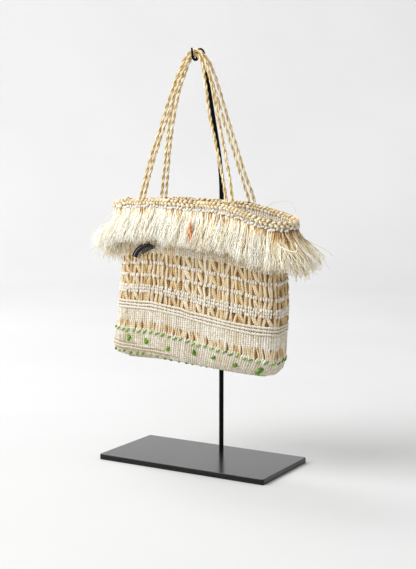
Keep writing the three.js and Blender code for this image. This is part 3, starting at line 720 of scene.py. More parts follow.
# The wool: bright green yarn sewn in after weaving, as slanting stitches along the white row and the
# bottom turn, and as knots dotted over the beige band. It is soft, so it is matt and a little fuzzy.
STITCH_LENGTH = 6.0
STITCH_RADIUS = 0.82
STITCH_BULGE = 0.9
# Rows of stitches: level at the left, drop from there to the right, mm from stitch to stitch, slant in
# degrees, how proud they lie
STITCH_ROWS = ((135.2, 0.0, 7.3, 34.0, 0.0), (114.4, 5.6, 9.0, 24.0, 0.5))
# How the drop is shared out, as turns and shares of it, and how far a stitch sinks in for each mm of it
STITCH_DROP = ((0.05, 0.12, 0.17, 0.24, 0.33, 0.45, 0.55, 0.65), (0, 0.22, 0.44, 0.6, 0.85, 1, 1, 0))
STITCH_SINK = 0.2
# How stitches vary: places by a share of the pitch, spread of slant in radians and of level, then shares of
# length and tints from and to
STITCH_STRAY = 0.12
STITCH_SLANTS = 0.12
STITCH_LEVELS = 0.4
STITCH_LENGTHS = (0.85, 1.1)
STITCH_TINTS = (0.35, 0.85)
# Knots on the front: place along X, level, size
KNOTS = ((-69.0, 127.5, 2.4), (-45.8, 126.5, 2.4), (-18.5, 123.2, 2.1), (13.0, 126.0, 2.8),
         (36.2, 124.7, 2.3), (61.0, 122.0, 2.6), (88.0, 119.6, 5.4))
# Knots on the back: how many, first turn, turns that they cover, then place in its share of those turns,
# levels and sizes from and to
BACK_KNOTS = 7
BACK_START = 0.56
BACK_SPAN = 0.37
BACK_STRAY = (0.2, 0.8)
BACK_LEVELS = (122, 127)
BACK_SIZES = (2.8, 4)
# The loops of a knot: how many, lengths as shares of its size, headings in half turns, spread along and up
# as shares of its size, how proud they lie and bulge, radius, tints
KNOT_LOOPS = 9
LOOP_LENGTHS = (0.9, 1.5)
LOOP_HEADINGS = (0.15, 0.85)
LOOP_SPREADS = (0.28, 0.35)
LOOP_PROUD = 0.3
LOOP_BULGE = 1.2
LOOP_RADIUS = 1.1
LOOP_TINTS = (0.2, 0.9)
# Fuzz of the wool: scale round a strand and along it, weight in the colour, depth of the relief
FUZZ_SCALE = (6.0, 0.7, 1.0)
FUZZ_WEIGHT = 0.5
FUZZ_DEPTH = 0.2


def green_wool():
    """Spun wool: soft and matt, uneven green, with a fuzz that sheen stands for."""
    material, tree = empty_material("green_wool")
    tint = add_node(tree, "ShaderNodeAttribute", attribute_name="tint").outputs["Fac"]
    strand = add_node(tree, "ShaderNodeUVMap", uv_map="strand").outputs["UV"]
    stretch = add_node(tree, "ShaderNodeMapping", {"Vector": strand, "Scale": FUZZ_SCALE})
    fuzz = add_node(tree, "ShaderNodeTexNoise", {"Vector": stretch.outputs["Vector"], "Scale": 1.0})
    varied = add_node(tree, "ShaderNodeMath", {0: fuzz.outputs["Fac"], 1: FUZZ_WEIGHT, 2: tint},
                      operation="MULTIPLY_ADD")
    centred = add_node(tree, "ShaderNodeMath", {0: varied.outputs[0], 1: FUZZ_WEIGHT / 2},
                       operation="SUBTRACT")
    colour = add_node(tree, "ShaderNodeValToRGB", {"Fac": centred.outputs[0]},
                      ((0.1, "#305404"), (0.5, "#548a0a"), (0.9, "#74a816")))
    bump = add_node(tree, "ShaderNodeBump",
                    {"Height": fuzz.outputs["Fac"], "Strength": 0.7, "Distance": FUZZ_DEPTH * MM})
    surface = add_node(tree, "ShaderNodeBsdfPrincipled",
                       {"Base Color": colour.outputs["Color"], "Roughness": 0.85, "Sheen Weight": 0.12,
                        "Normal": bump.outputs["Normal"]})
    add_node(tree, "ShaderNodeOutputMaterial", {"Surface": surface.outputs["BSDF"]})
    return material


def slanted(turn, level, reach, slant, out, bulge):
    """Short lines reach mm long that lie on the wall at a slant in radians."""
    return laid(turn, level, reach * np.cos(slant), reach * np.sin(slant), out, bulge)


wool = green_wool()
stitch_lines = []
for level, drop, pitch, slant, proud in STITCH_ROWS:
    count = round(GIRTH / pitch)
    turn = (np.arange(count) + dice.uniform(-STITCH_STRAY, STITCH_STRAY, count)) / count
    slant = math.radians(slant) + dice.normal(0, STITCH_SLANTS, count)
    reach = STITCH_LENGTH * dice.uniform(*STITCH_LENGTHS, count)
    fall = drop * np.interp(turn, *STITCH_DROP)
    level = level - fall + dice.normal(0, STITCH_LEVELS, count)
    out = proud - STITCH_SINK * fall[:, None]
    stitch_lines.append(slanted(turn, level, reach, slant, out, STITCH_BULGE))
stitch_lines = np.concatenate(stitch_lines)
stitch_tints = dice.uniform(*STITCH_TINTS, (len(stitch_lines), 1))
stitches = strands("wool_stitches", stitch_lines, STITCH_RADIUS * TICK_SHAPE, stitch_tints, WARP_SIDES)
fit(stitches, wool, "twined_flax")


def front_turn(x, level):
    """The turn at which the front of a level has a given X."""
    row = FACE[int((level - LEVELS[0]) / LEVEL_STEP), :WALL_COLUMNS // 2]
    return np.interp(x, row[:, 0], np.arange(len(row)) / WALL_COLUMNS)


knot_places = [(front_turn(x, level), level, size) for x, level, size in KNOTS]
for number in range(BACK_KNOTS):
    turn = BACK_START + BACK_SPAN * (number + dice.uniform(*BACK_STRAY)) / BACK_KNOTS
    knot_places.append((turn, dice.uniform(*BACK_LEVELS), dice.uniform(*BACK_SIZES)))
knot_lines = []
for turn, level, size in knot_places:
    reach = size * dice.uniform(*LOOP_LENGTHS, KNOT_LOOPS)
    heading = dice.uniform(*LOOP_HEADINGS, KNOT_LOOPS) * math.pi
    aside, above = (dice.normal(0, spread * size, KNOT_LOOPS) for spread in LOOP_SPREADS)
    knot_lines.append(slanted(turn + aside / GIRTH, level + above, reach, heading, LOOP_PROUD, LOOP_BULGE))
knot_lines = np.concatenate(knot_lines)
knot_tints = dice.uniform(*LOOP_TINTS, (len(knot_lines), 1))
knots = strands("wool_knots", knot_lines, LOOP_RADIUS * TICK_SHAPE, knot_tints, WARP_SIDES)
fit(knots, wool, "twined_flax")

# The rim: the warp ends are turned over and plaited round the mouth in three strands of several fibres
# each, and a white row is twined just below, over the roots of the fringe.
RIM_TURNS = 34
RIM_STEP = 1.2
RIM_LEVEL = 274.0
RIM_LIFT = 0.4
RIM_INSET = 1.0
# The rim is longer than the wall's girth by this share
RIM_GIRTH = 1.08
RIM_HALF_HEIGHT = 2.3
RIM_HALF_DEPTH = 2.2
RIM_FIBRES = 6
RIM_FIBRE_REACH = 1.05
RIM_FIBRE_RADIUS = 0.56
RIM_FIBRE_LAY = 38.0
RIM_TINTS = (0.24, 0.8)
# Painted light and shade on the plait: how much paler a strand is painted mid-way along each stretch,
# and darker where the strands cross and tuck under one another
RIM_PAINTED_RELIEF = 0.46
# The plait is drawn up unevenly: turns between which that is set, then the points and the values of its
# pace, and the points and the spread of its slack
RIM_STRETCH = (0.7, 1.75)
PACE_POINTS = 50
PACES = (0.6, 1.4)
SLACK_POINTS = 60
SLACK_SPREAD = 0.14
# A slack loop of the plait that stands up at the left: place along X, rise, spread
RIM_LOOP = (-68.6, 1.8, 5.0)
# How far the left end of the plait hangs below the line of the brim, and over what length
RIM_DROOP = (3.5, 9.0)
# The white row: level, mm from stitch to stitch, slant, radius, how proud it lies and bulges, and how it
# lifts and lengthens with the ends of the rim
EDGE_LEVEL = 272.3
EDGE_PITCH = 3.8
EDGE_SLANT = math.radians(30)
EDGE_RADIUS = 1.35
EDGE_PROUD = 1.3
EDGE_BULGE = 0.9
EDGE_LIFT = 0.5
EDGE_GIRTH = 1.07
# How its stitches vary: places by a share of the pitch, spread of slant in radians and of level, then
# lengths, shares of radius and tints from and to
EDGE_STRAY = 0.1
EDGE_SLANTS = 0.4
EDGE_LEVELS = 0.6
EDGE_LENGTHS = (2.9, 3.8)
EDGE_RADII = (0.75, 1.2)
EDGE_TINTS = (0.8, 1.05)
# How far the two ends of the rim reach out past the wall
REACH_LEFT = 3.8
REACH_RIGHT = 2.8
# The top of the rim, which droops more than the wall below it
BRIM = dict(height=281.5, tilt=-0.02, drop_left=4.5, drop_right=21.0, back_rise=9.0)


def end_reach(turn):
    """How far the rim reaches out past the wall at turns round it, which is nothing along the sides."""
    facing = (wall(turn, EDGE_LEVEL, 1.0) - wall(turn, EDGE_LEVEL, 0.0))[..., 0]
    return np.where(facing < 0, REACH_LEFT, REACH_RIGHT) * facing**2


def outwards(turn, level):
    """The level direction straight out of the wall at turns round it."""
    facing = wall(turn, level, 1.0) - wall(turn, level)
    facing[:, 2] = 0
    return facing / np.linalg.norm(facing, axis=1, keepdims=True)


rim_turns = np.linspace(RING_START, RING_START + RING_SPAN, round(GIRTH * RIM_GIRTH / RIM_STEP))


def along_rim(values):
    """Values set evenly round the rim, as they are at its points."""
    return np.interp(rim_turns, np.linspace(*RIM_STRETCH, len(values)), values)


rim_foot = wall(rim_turns, RIM_LEVEL, end_reach(rim_turns) - RIM_INSET)
rim_out = outwards(rim_turns, RIM_LEVEL)
towards_back = (rim_foot[:, 1] - FACE[-1, :, 1].min()) / np.ptp(FACE[-1, :, 1])
rim_middle = rim_foot.copy()
rim_middle[:, 2] = (rim_foot[:, 2] + drooped(rim_foot[:, 0], towards_back, **BRIM)) / 2 + RIM_LIFT
loop_x, loop_rise, loop_spread = RIM_LOOP
on_front = rim_foot[:, 1] < FACE[-1, :, 1].mean()
rim_middle[:, 2] += loop_rise * np.exp(-((rim_foot[:, 0] - loop_x) / loop_spread) ** 2) * on_front
rim_pace = along_rim(dice.uniform(*PACES, PACE_POINTS)).cumsum()
rim_pace = RIM_TURNS * rim_pace / rim_pace[-1]
end_droop, end_spread = RIM_DROOP
rim_middle[:, 2] -= end_droop * np.exp(-((rim_foot[:, 0] - rim_foot[:, 0].min()) / end_spread) ** 2)
rim_strands, rim_light_and_shade = [], []
for strand in range(3):
    slack = along_rim(dice.normal(1, SLACK_SPREAD, SLACK_POINTS))[:, None]
    phase = TAU * (rim_pace + strand / 3)[:, None]
    # Painted light and shade along each strand: 1 mid-way along a stretch, -1 where it crosses the others
    rim_light_and_shade.append(2 * np.abs(np.sin(2 * phase[:, 0])) - 1)
    rim_strands.append(rim_middle + RIM_HALF_DEPTH * slack * np.sin(2 * phase) * rim_out
                       + RIM_HALF_HEIGHT * slack * np.sin(phase) * np.array((0, 0, 1.0)))
rim_fibre_phases = np.tile(np.arange(RIM_FIBRES) / RIM_FIBRES, 3)
rim_lines = wound(np.repeat(np.array(rim_strands), RIM_FIBRES, axis=0), RIM_FIBRE_LAY, RIM_FIBRE_REACH,
                  rim_fibre_phases)
rim_tints = dice.uniform(*RIM_TINTS, (len(rim_lines), 1))
rim_tints = rim_tints + RIM_PAINTED_RELIEF * np.repeat(rim_light_and_shade, RIM_FIBRES, axis=0)
RIM_TONES = ((0.0, "#6e4718"), (0.25, "#a47c40"), (0.5, "#d3b680"), (0.75, "#ead9b4"), (1.0, "#f5ecd6"))
plaited_flax = flax("plaited_flax", RIM_TONES)
rim = strands("rim_plait", rim_lines, RIM_FIBRE_RADIUS, rim_tints)
fit(rim, plaited_flax, "flax_cord", "rim_braid")

edge_count = round(GIRTH * EDGE_GIRTH / EDGE_PITCH)
edge_turns = (np.arange(edge_count) + dice.uniform(-EDGE_STRAY, EDGE_STRAY, edge_count)) / edge_count
edge_slant = EDGE_SLANT + dice.normal(0, EDGE_SLANTS, edge_count)
edge_reach = dice.uniform(*EDGE_LENGTHS, edge_count)
edge_out = end_reach(edge_turns)
edge_levels = EDGE_LEVEL + EDGE_LIFT * edge_out + dice.normal(0, EDGE_LEVELS, edge_count)
edge_lines = slanted(edge_turns, edge_levels, edge_reach, edge_slant, EDGE_PROUD + edge_out[:, None],
                     EDGE_BULGE)
edge_radii = EDGE_RADIUS * TICK_SHAPE * dice.uniform(*EDGE_RADII, (edge_count, 1))
edge_tints = dice.uniform(*EDGE_TINTS, (edge_count, 1))
edge_row = strands("white_edge_row", edge_lines, edge_radii, edge_tints, WARP_SIDES, 1.0)
fit(edge_row, twined_flax, "twined_flax")

# The fringe: combed flax left loose below the white row, two fingers' width of soft fibre that hangs in
# small locks on the front and stands out in a brush at the two ends.
# Parts of the fringe: name, turns from and to, fibres to a lock
FRINGE_PARTS = (("front", 0.03, 0.44, 12), ("right", 0.44, 0.62, 20), ("back", 0.62, 0.9, 10),
                ("left", 0.9, 1.03, 24))
LOCKS_PER_TURN = 420
LOCK_STRAY = (0.25, 0.75)
FIBRE_RADIUS = 0.35
FRINGE_LEVEL = 271.3
# Roots: spread along as a share of a lock's width, levels, how proud they lie, and the share of the rim's
# reach at its ends that they follow
ROOT_STRAY = 0.26
ROOT_LEVELS = (-1.5, 0.8)
ROOT_PROUD = (0.3, 2.2)
ROOT_REACH = 0.8
LENGTH_FRONT = 36.5
LENGTH_LEFT = 49.0
LENGTH_RIGHT = 44.0
# How much the lengths of locks and of fibres vary, and the share of that on the front
LOCK_UNEVEN = (0.06, 0.4)
FIBRE_UNEVEN = (0.07, 0.35)
# How much shorter the short fibres are, and their share of all
SHORT_FIBRES = (0.28, 0.25)
# The front fringe is longest right of its middle: places along X and shares of its length
WEAR = ((-60, -10, 30, 100), (0.97, 0.96, 1.03, 1.0))
# Painted light and shade along the fringe, partly its own tone: paler on the lit left of the front and
# darker at the shaded right end; places along X and what they add to the tints
FRINGE_LIGHT_ALONG_X = ((-90, 0, 84, 112), (0.14, 0.1, 0.04, -0.36))
# Towards the right end its roots are painted in deeper shade and its tips with painted light: places along
# X and how far
RIGHT_END_LIGHTING = ((70, 112), (0.0, 1.0))
# Tints of the locks: mean and spread, limits, how much yellower some are and their share, spread of the
# fibres, how much yellower a fibre deep in its lock is painted as shade, and where in the lock its face
# begins
LOCK_TINTS = (0.88, 0.13)
TINT_LIMITS = (0.3, 1.05)
YELLOW_LOCKS = (0.36, 0.2)
FIBRE_TINTS = 0.07
DEPTH_SHADE = 0.28
FACE_DEPTH = 0.3
# Painted shade at the roots, under the rim: how deep it is, and how much deeper in some locks and their
# share
ROOT_PAINTED_SHADE = 0.2
DEEP_SHADED_ROOTS = (1.8, 0.4)
SPLAY_FRONT = math.radians(19)
SPLAY_LEFT = math.radians(13.5)
SPLAY_RIGHT = math.radians(25)
END_POWER = 1.25
# How splay and lean vary from lock to lock, in radians, then how fibres open in a lock and how much more at
# the ends, lean in it on the front and more at the ends, and the least that any stands off
SPLAY_SPREAD = 0.07
LEAN_SPREAD = 0.08
FIBRE_OPENS = (0.09, 0.3)
FIBRE_LEANS = (0.06, 0.1)
LEAST_SPLAY = 0.04
# At the ends some fibres hang slack: by what share, and their share of all
SLACK_FIBRES = (0.6, 0.3)
# Curl: reach at the tip from and to, how much more at the ends, waves to a fibre, share of it outwards
CURLS = (0.3, 1.8)
END_CURL = 1.9
CURL_WAVES = (0.6, 1.7)
CURL_OUT = 0.6
# Neighbouring locks draw together at their ends, in tufts of uneven width and length
TUFTS = 66
TUFT_STRAY = (0.15, 0.85)
TUFT_SPREAD = 0.035
TUFT_DRAW = 0.62
tuft_turns = (np.arange(TUFTS) + dice.uniform(*TUFT_STRAY, TUFTS)) / TUFTS
tuft_lengths = dice.normal(1, TUFT_SPREAD, TUFTS)
# How the splay changes down a fibre, and at the left end, where the fringe hangs before it flares
SPLAY_SHAPE = ((0, 0.2, 0.5, 1), (0.5, 1.1, 1.2, 0.9))
FLARE_SHAPE = ((0, 0.25, 0.4, 0.65, 1), (0.1, 0.4, 2.2, 1.6, 0.3))
# Down a fibre from root to tip: its thickness, the painted shade at its root, the painted light at its
# paler tip, and the painted shade and light that the right end adds
FIBRE_POINTS = 8
FIBRE_SHARE = np.linspace(0, 1, FIBRE_POINTS)
FIBRE_SHAPE = np.interp(FIBRE_SHARE, (0, 0.6, 1), (1.0, 0.95, 0.7))
ROOT_SHADE = np.interp(FIBRE_SHARE, (0, 0.14, 0.36, 1), (0.4, 0.32, 0.0, 0.0))
TIP_PAINTED_LIGHT = np.interp(FIBRE_SHARE, (0, 0.55, 1), (0.0, 0.0, 0.1))
RIGHT_END_LIGHT_SHADE = np.interp(FIBRE_SHARE, (0, 0.3, 0.6, 1), (-0.2, -0.1, 0.08, 0.26))
FRINGE_TONES = ((0.0, "#94642a"), (0.2, "#cfa764"), (0.45, "#f2dfb2"), (0.7, "#fdf3da"), (1.0, "#fffcf0"))
combed_flax = flax("combed_flax", FRINGE_TONES, streak=14.0, patch=14.0, depth=0.05)


def some(amount, value, share):
    """An array that holds value in a random share of its places, and 0 in the others."""
    return dice.choice((0.0, value), amount, p=(1 - share, share))


def uneven(spread, front_share, endwise):
    """Random factors for lengths, which vary less on the front than at the ends."""
    return 1 + dice.normal(0, spread, endwise.size) * (front_share + (1 - front_share) * endwise)


def fringe_fibres(turn, tints, count):
    """Lines and tints of loose fibres, count to each lock whose root is at a turn."""
    facing = outwards(turn, FRINGE_LEVEL)
    endwise = np.abs(facing[:, 0]) ** END_POWER
    end_length = np.where(facing[:, 0] < 0, LENGTH_LEFT, LENGTH_RIGHT)
    end_splay = np.where(facing[:, 0] < 0, SPLAY_LEFT, SPLAY_RIGHT)
    side_length = LENGTH_FRONT * np.interp(wall(turn, FRINGE_LEVEL)[:, 0], *WEAR)
    lock_length = (side_length + (end_length - side_length) * endwise) * uneven(*LOCK_UNEVEN, endwise)
    lock_splay = SPLAY_FRONT + (end_splay - SPLAY_FRONT) * endwise + dice.normal(0, SPLAY_SPREAD, turn.size)
    to_tufts = (tuft_turns - turn[:, None] + 0.5) % 1 - 0.5
    tuft = np.abs(to_tufts).argmin(axis=1)
    to_tuft = to_tufts[np.arange(turn.size), tuft] * GIRTH
    lock_length = lock_length * tuft_lengths[tuft]
    lock_lean = dice.normal(0, LEAN_SPREAD, turn.size) + np.arctan(TUFT_DRAW * to_tuft / lock_length)
    flaring = np.where(facing[:, 0] < 0, endwise, 0)
    turn, lock_length, lock_splay, lock_lean, endwise, flaring, tints = (
        np.repeat(value, count)
        for value in (turn, lock_length, lock_splay, lock_lean, endwise, flaring, tints))
    amount = turn.size
    long = lock_length * (1 - some(amount, *SHORT_FIBRES)) * uneven(*FIBRE_UNEVEN, endwise)
    opened = dice.normal(0, 1, amount)
    slack = 1 - endwise * some(amount, *SLACK_FIBRES)
    splay = lock_splay * slack + FIBRE_OPENS[0] * opened * (1 + FIBRE_OPENS[1] * endwise)
    # Fibres deep in a lock are painted darker and yellower, as shade
    tints = tints + DEPTH_SHADE * np.minimum(opened, FACE_DEPTH)
    lean = lock_lean + dice.normal(0, FIBRE_LEANS[0] + FIBRE_LEANS[1] * endwise, amount)
    hanging, flared = np.interp(FIBRE_SHARE, *SPLAY_SHAPE), np.interp(FIBRE_SHARE, *FLARE_SHAPE)
    angle = splay[:, None] * (hanging + flaring[:, None] * (flared - hanging)) + LEAST_SPLAY
    step = long[:, None] / (FIBRE_POINTS - 1)
    out = np.cumsum(step * np.sin(angle), axis=1) - step * np.sin(angle)
    down = np.cumsum(step * np.cos(angle), axis=1) - step * np.cos(angle)
    curl = dice.uniform(*CURLS, (amount, 1)) * (1 + END_CURL * endwise[:, None])
    wave = TAU * (dice.uniform(*CURL_WAVES, (amount, 1)) * FIBRE_SHARE + dice.random((amount, 1)))
    aside = down * np.tan(lean)[:, None] + curl * FIBRE_SHARE * np.sin(wave)
    out = out + CURL_OUT * curl * FIBRE_SHARE * np.cos(wave)
    root = wall(turn + dice.normal(0, ROOT_STRAY / LOCKS_PER_TURN, amount),
                FRINGE_LEVEL + dice.uniform(*ROOT_LEVELS, amount),
                dice.uniform(*ROOT_PROUD, amount) + ROOT_REACH * end_reach(turn))
    normal = np.repeat(facing, count, axis=0)
    along = np.stack((-normal[:, 1], normal[:, 0], np.zeros(amount)), axis=1)
    lines = root[:, None] + out[..., None] * normal[:, None] + aside[..., None] * along[:, None]
    lines[:, :, 2] -= down
    return lines, tints


for part, start, end, fibres in FRINGE_PARTS:
    locks = round((end - start) * LOCKS_PER_TURN)
    lock_turn = start + (end - start) * (np.arange(locks) + dice.uniform(*LOCK_STRAY, locks)) / locks
    lock_x = wall(lock_turn, FRINGE_LEVEL)[:, 0]
    lock_tints = dice.normal(*LOCK_TINTS, locks) - some(locks, *YELLOW_LOCKS)
    # Painted light on the lit left and painted shade at the right end, partly the fringe's own tone
    lock_tints = np.clip(lock_tints + np.interp(lock_x, *FRINGE_LIGHT_ALONG_X), *TINT_LIMITS)
    fibre_lines, fibre_tints = fringe_fibres(lock_turn, lock_tints, fibres)
    fibre_tints = fibre_tints + dice.normal(0, FIBRE_TINTS, fibre_tints.size)
    root_shading = (ROOT_PAINTED_SHADE + some(locks, *DEEP_SHADED_ROOTS)).repeat(fibres)[:, None]
    right_lighting = np.interp(lock_x, *RIGHT_END_LIGHTING).repeat(fibres)[:, None]
    # Painted shade at the roots and painted light at the tips, both stronger towards the right end
    tints_here = fibre_tints[:, None] - ROOT_SHADE * root_shading + TIP_PAINTED_LIGHT + RIGHT_END_LIGHT_SHADE * right_lighting
    fringe = strands(part + "_fringe", fibre_lines, FIBRE_RADIUS * FIBRE_SHAPE, tints_here, 4, smooth=False)
    fit(fringe, combed_flax, "loose_flax", "fringe")

# Loose hairs: single fibres that have worked out of the fringe and the rim and stand off in long bows,
# most of them at the two ends. Three longer strands stray at the right, one in an arc over the rim.
# Hairs at the ends as turn and number, their spread there, and the number anywhere
HAIR_ENDS = ((0.5, 45), (1.0, 22))
HAIR_SPREAD = 0.05
HAIRS_ANYWHERE = 23
HAIR_RADIUS = 0.16
HAIR_TINTS = (0.4, 0.8)
# Their bows: half waves to a hair, and how far it is lifted, from and to
HAIR_WAVES = (0.5, 0.9)
HAIR_LIFTS = (-6, 14)
STRAY_EASE = 4
# Strays: radius, tint, points they pass
STRAYS = (
    (0.14, 0.2, ((72, 8.5, 273.5), (77.8, 8, 278), (84.5, 8, 279.4), (91.5, 7, 280.9), (98.5, 4, 280.3),
                  (105.4, 0, 277.6), (111.8, -6, 272.8), (113.6, -9, 269.6))),
    (0.42, 0.9, ((113, -48, 241), (116.3, -49.5, 238.8), (121, -50, 236.8), (125.2, -50, 235.4),
                 (130.1, -50, 234.1), (134.2, -50, 233.9), (135, -50, 236.5), (134.8, -50, 239.4),
                 (132.4, -49, 242.6))),
    (0.45, 0.9, ((117, -50, 238), (118.3, -52, 228.7), (119.1, -52, 224), (120, -52, 217.4))),
)
hair_turn = [dice.normal(turn, HAIR_SPREAD, number) for turn, number in HAIR_ENDS]
hair_turn = np.concatenate((*hair_turn, dice.uniform(0, 1, HAIRS_ANYWHERE)))
one_each = (hair_turn.size, 1)
hair_lines, _ = fringe_fibres(hair_turn, np.zeros(hair_turn.size), 1)
hair_bow = math.pi * FIBRE_SHARE * dice.uniform(*HAIR_WAVES, one_each)
hair_lines[:, :, 2] += dice.uniform(*HAIR_LIFTS, one_each) * np.sin(hair_bow)
hair_tints = dice.uniform(*HAIR_TINTS, one_each)
hairs = strands("loose_hairs", hair_lines, HAIR_RADIUS, hair_tints, 3, smooth=False)
fit(hairs, combed_flax, "loose_flax")
for number, (radius, tint, route) in enumerate(STRAYS):
    stray = strands(f"stray_{number}", smooth_line(route, CORD_STEP, STRAY_EASE)[None], radius, tint)
    fit(stray, combed_flax, "loose_flax")

# One lock in the front was dyed orange before it was twined in, and a fainter pink one hangs further on.
# Both lie on the outside of the fringe, and their fibres part in the middle and close towards the foot.
# Dyed locks: place along X, heights from and to, fibres, tint
DYED_LOCKS = ((16.4, 264.0, 238.0, 16, 0.88), (76.5, 248.0, 238.0, 3, 0.0))
DYED_POINTS = 12
DYED_RADIUS = 0.28
# A lock swings from side to side: how far, waves from top to foot, how far its fibres are out of step
DYED_SWING = (0.8, 1.6, 0.12)
# Its fibres spread apart in its middle: how far, then where on the half wave they start and how much of it
DYED_SPREAD = (2.4, 0.05, 0.85)
# It runs to the right and comes forward from Y at its top: how far in X, Y at the top, how far in Y, depth
DYED_RUN = (6.4, -50.2, 10.5, 1.4)
# Fibres start lower, by a share of the length up to a most and seldom by so much, and end short of the foot
DYED_STARTS = (0.6, 1.5)
DYED_ENDS = (0.88, 1.0)
DYED_TINTS = 0.3
DYED_TONES = ((0.0, "#f3e4d6"), (0.4, "#edc494"), (0.7, "#df9648"), (1.0, "#d0782a"))
dyed_flax = flax("dyed_flax", DYED_TONES, streak=14.0, patch=14.0, depth=0.05)
dyed_lines, dyed_tints = [], []
share = np.linspace(0, 1, DYED_POINTS)
swing_reach, swing_waves, swing_step = DYED_SWING
spread_reach, spread_start, spread_span = DYED_SPREAD
run_right, run_y, run_forward, run_depth = DYED_RUN
latest, seldom = DYED_STARTS
for x, top, foot, fibres, tint in DYED_LOCKS:
    one_each = (fibres, 1)
    swing = swing_reach * np.sin(TAU * (swing_waves * share + dice.uniform(0, swing_step, one_each)))
    belly = np.sin(math.pi * (spread_start + spread_span * share))
    across = x + run_right * share + swing + dice.normal(0, spread_reach, one_each) * belly
    proud = run_y - (run_forward * share + dice.uniform(0, run_depth, one_each))
    began = top - (top - foot) * dice.uniform(0, latest, one_each) ** seldom
    down = began + (foot - began) * share * dice.uniform(*DYED_ENDS, one_each)
    dyed_lines.append(np.stack((across, proud, down), axis=-1))
    dyed_tints.append(tint + dice.normal(0, DYED_TINTS, one_each))
dyed = strands("dyed_locks", np.concatenate(dyed_lines), DYED_RADIUS, np.concatenate(dyed_tints), 4)
fit(dyed, dyed_flax, "loose_flax")

# The feather: a small dark quill feather caught under the fringe, two blue-black stripes that curl down
# to the left with a pale line between, a smooth patch of grey down behind and one barb that stands up.
FEATHER_TIP = (-57.5, 221.5)
FEATHER_BEND = (-54.5, 232.0)
FEATHER_QUILL = (-38.0, 235.0)
FEATHER_Y = -42.0
FEATHER_POINTS = 14
FEATHER_BARBS = 21
FEATHER_HALF_WIDTH = 3.0
BARB_RADIUS = 0.3
# The vane: how it narrows from tip to quill, how it crowns, its pale line as place across and half width,
# and the tints of that line and of the rest
FEATHER_TAPER = ((0, 0.55, 1), (1.0, 0.85, 0.3))
FEATHER_CROWN = 0.6
PALE_LINE = (0.6, 0.32)
VANE_TINTS = (0.72, 0.05)
# The down: barbs, then X and Z of their heads and of their tips from and to, how they arch, how far behind
# the vane they start and come forward, tints
DOWN_BARBS = 46
DOWN_HEADS = ((-50, -46), (224.5, 232.0))
DOWN_TIPS = ((-39, -32), (231.0, 234.5))
DOWN_ARCH = 1.5
DOWN_BEHIND = 0.4
DOWN_DEPTH = 0.8
DOWN_TINTS = (0.36, 0.6)
# The barb that stands up: from and to in X and Z, its strands apart in X, how it bends, how proud it lies
SPIKE = ((-41.2, 234.5), (-40.4, 240.0))
SPIKE_STRANDS = (-0.3, 0.0, 0.3)
SPIKE_BEND = 0.4
SPIKE_PROUD = 1.5
# The mottle of the feather: its size, and its weight in the colour
VANE_MOTTLE = 2.0
MOTTLE_WEIGHT = 0.2


def feather_vane():
    """Feather barbs: blue-black and glossy in the vane, dull olive grey in the down."""
    material, tree = empty_material("feather_vane")
    tint = add_node(tree, "ShaderNodeAttribute", attribute_name="tint").outputs["Fac"]
    place = add_node(tree, "ShaderNodeTexCoord").outputs["Object"]
    mottle = add_node(tree, "ShaderNodeTexNoise", {"Vector": place, "Scale": 1 / (VANE_MOTTLE * MM)})
    varied = add_node(tree, "ShaderNodeMath", {0: mottle.outputs["Fac"], 1: MOTTLE_WEIGHT, 2: tint},
                      operation="MULTIPLY_ADD")
    colour = add_node(tree, "ShaderNodeValToRGB", {"Fac": varied.outputs[0]},
                      ((0.1, "#02021a"), (0.3, "#04042a"), (0.55, "#443f34"), (0.8, "#6d675a"),
                       (1.0, "#b4b4b6")))
    surface = add_node(tree, "ShaderNodeBsdfPrincipled",
                       {"Base Color": colour.outputs["Color"], "Roughness": 0.55,
                        "Specular IOR Level": 0.25})
    add_node(tree, "ShaderNodeOutputMaterial", {"Surface": surface.outputs["BSDF"]})
    return material


def bent(tip, bend, quill):
    """Points on the bend from tip to quill, in X and Z."""
    share = np.linspace(0, 1, FEATHER_POINTS)[:, None]
    tip, bend, quill = (np.array(at) for at in (tip, bend, quill))
    return (1 - share) ** 2 * tip + 2 * share * (1 - share) * bend + share**2 * quill


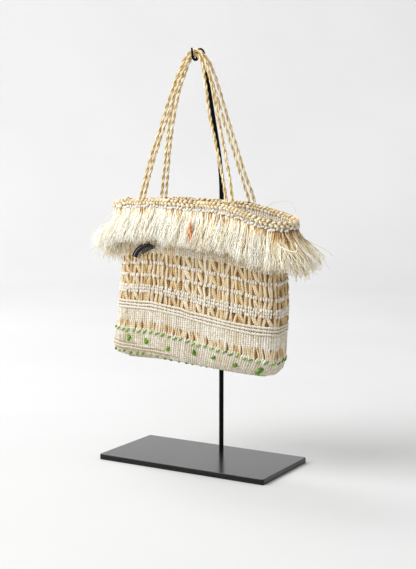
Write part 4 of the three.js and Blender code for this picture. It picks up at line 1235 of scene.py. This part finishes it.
def upright(plan, y):
    """Lines given in X and Z, set at a depth y."""
    return np.stack((plan[..., 0], np.broadcast_to(y, plan.shape[:2]), plan[..., 1]), axis=-1)


def down_ends(places, heights):
    """Ends of the barbs of the down in X and Z: places at random, and heights one above the other."""
    return np.stack((dice.uniform(*places, DOWN_BARBS), np.linspace(*heights, DOWN_BARBS)), axis=1)


spine = bent(FEATHER_TIP, FEATHER_BEND, FEATHER_QUILL)
slope = np.gradient(spine, axis=0)
slope /= np.linalg.norm(slope, axis=1, keepdims=True)
across = np.linspace(-FEATHER_HALF_WIDTH, FEATHER_HALF_WIDTH, FEATHER_BARBS)
taper = np.interp(np.linspace(0, 1, FEATHER_POINTS), *FEATHER_TAPER)
vane_plan = spine + (across[:, None, None] * taper[:, None]) * np.stack((-slope[:, 1], slope[:, 0]), axis=1)
vane_lines = upright(vane_plan, FEATHER_Y - FEATHER_CROWN * np.cos(across / FEATHER_HALF_WIDTH)[:, None])
line_place, line_half_width = PALE_LINE
vane_tints = np.where(np.abs(across - line_place) < line_half_width, *VANE_TINTS)
down_heads, down_tips = down_ends(*DOWN_HEADS), down_ends(*DOWN_TIPS)
down_plan = np.array([bent(head, (head + tip) / 2 + (0, DOWN_ARCH), tip)
                      for head, tip in zip(down_heads, down_tips)])
down_lines = upright(down_plan, FEATHER_Y + DOWN_BEHIND - dice.uniform(0, DOWN_DEPTH, (DOWN_BARBS, 1)))
spike_from, spike_to = np.array(SPIKE)
spike_middle = (spike_from + spike_to) / 2 + (SPIKE_BEND, 0)
spike_plan = np.array([bent(spike_from + (dx, 0), spike_middle, spike_to) for dx in SPIKE_STRANDS])
spike_lines = upright(spike_plan, FEATHER_Y - SPIKE_PROUD)
feather_lines = np.concatenate((vane_lines, down_lines, spike_lines))
down_tints = dice.uniform(*DOWN_TINTS, DOWN_BARBS)
feather_tints = np.concatenate((vane_tints, down_tints, np.zeros(len(SPIKE_STRANDS))))[:, None]
feather = strands("quill_feather", feather_lines, BARB_RADIUS, feather_tints)
fit(feather, feather_vane(), "dark_feather", "feather")
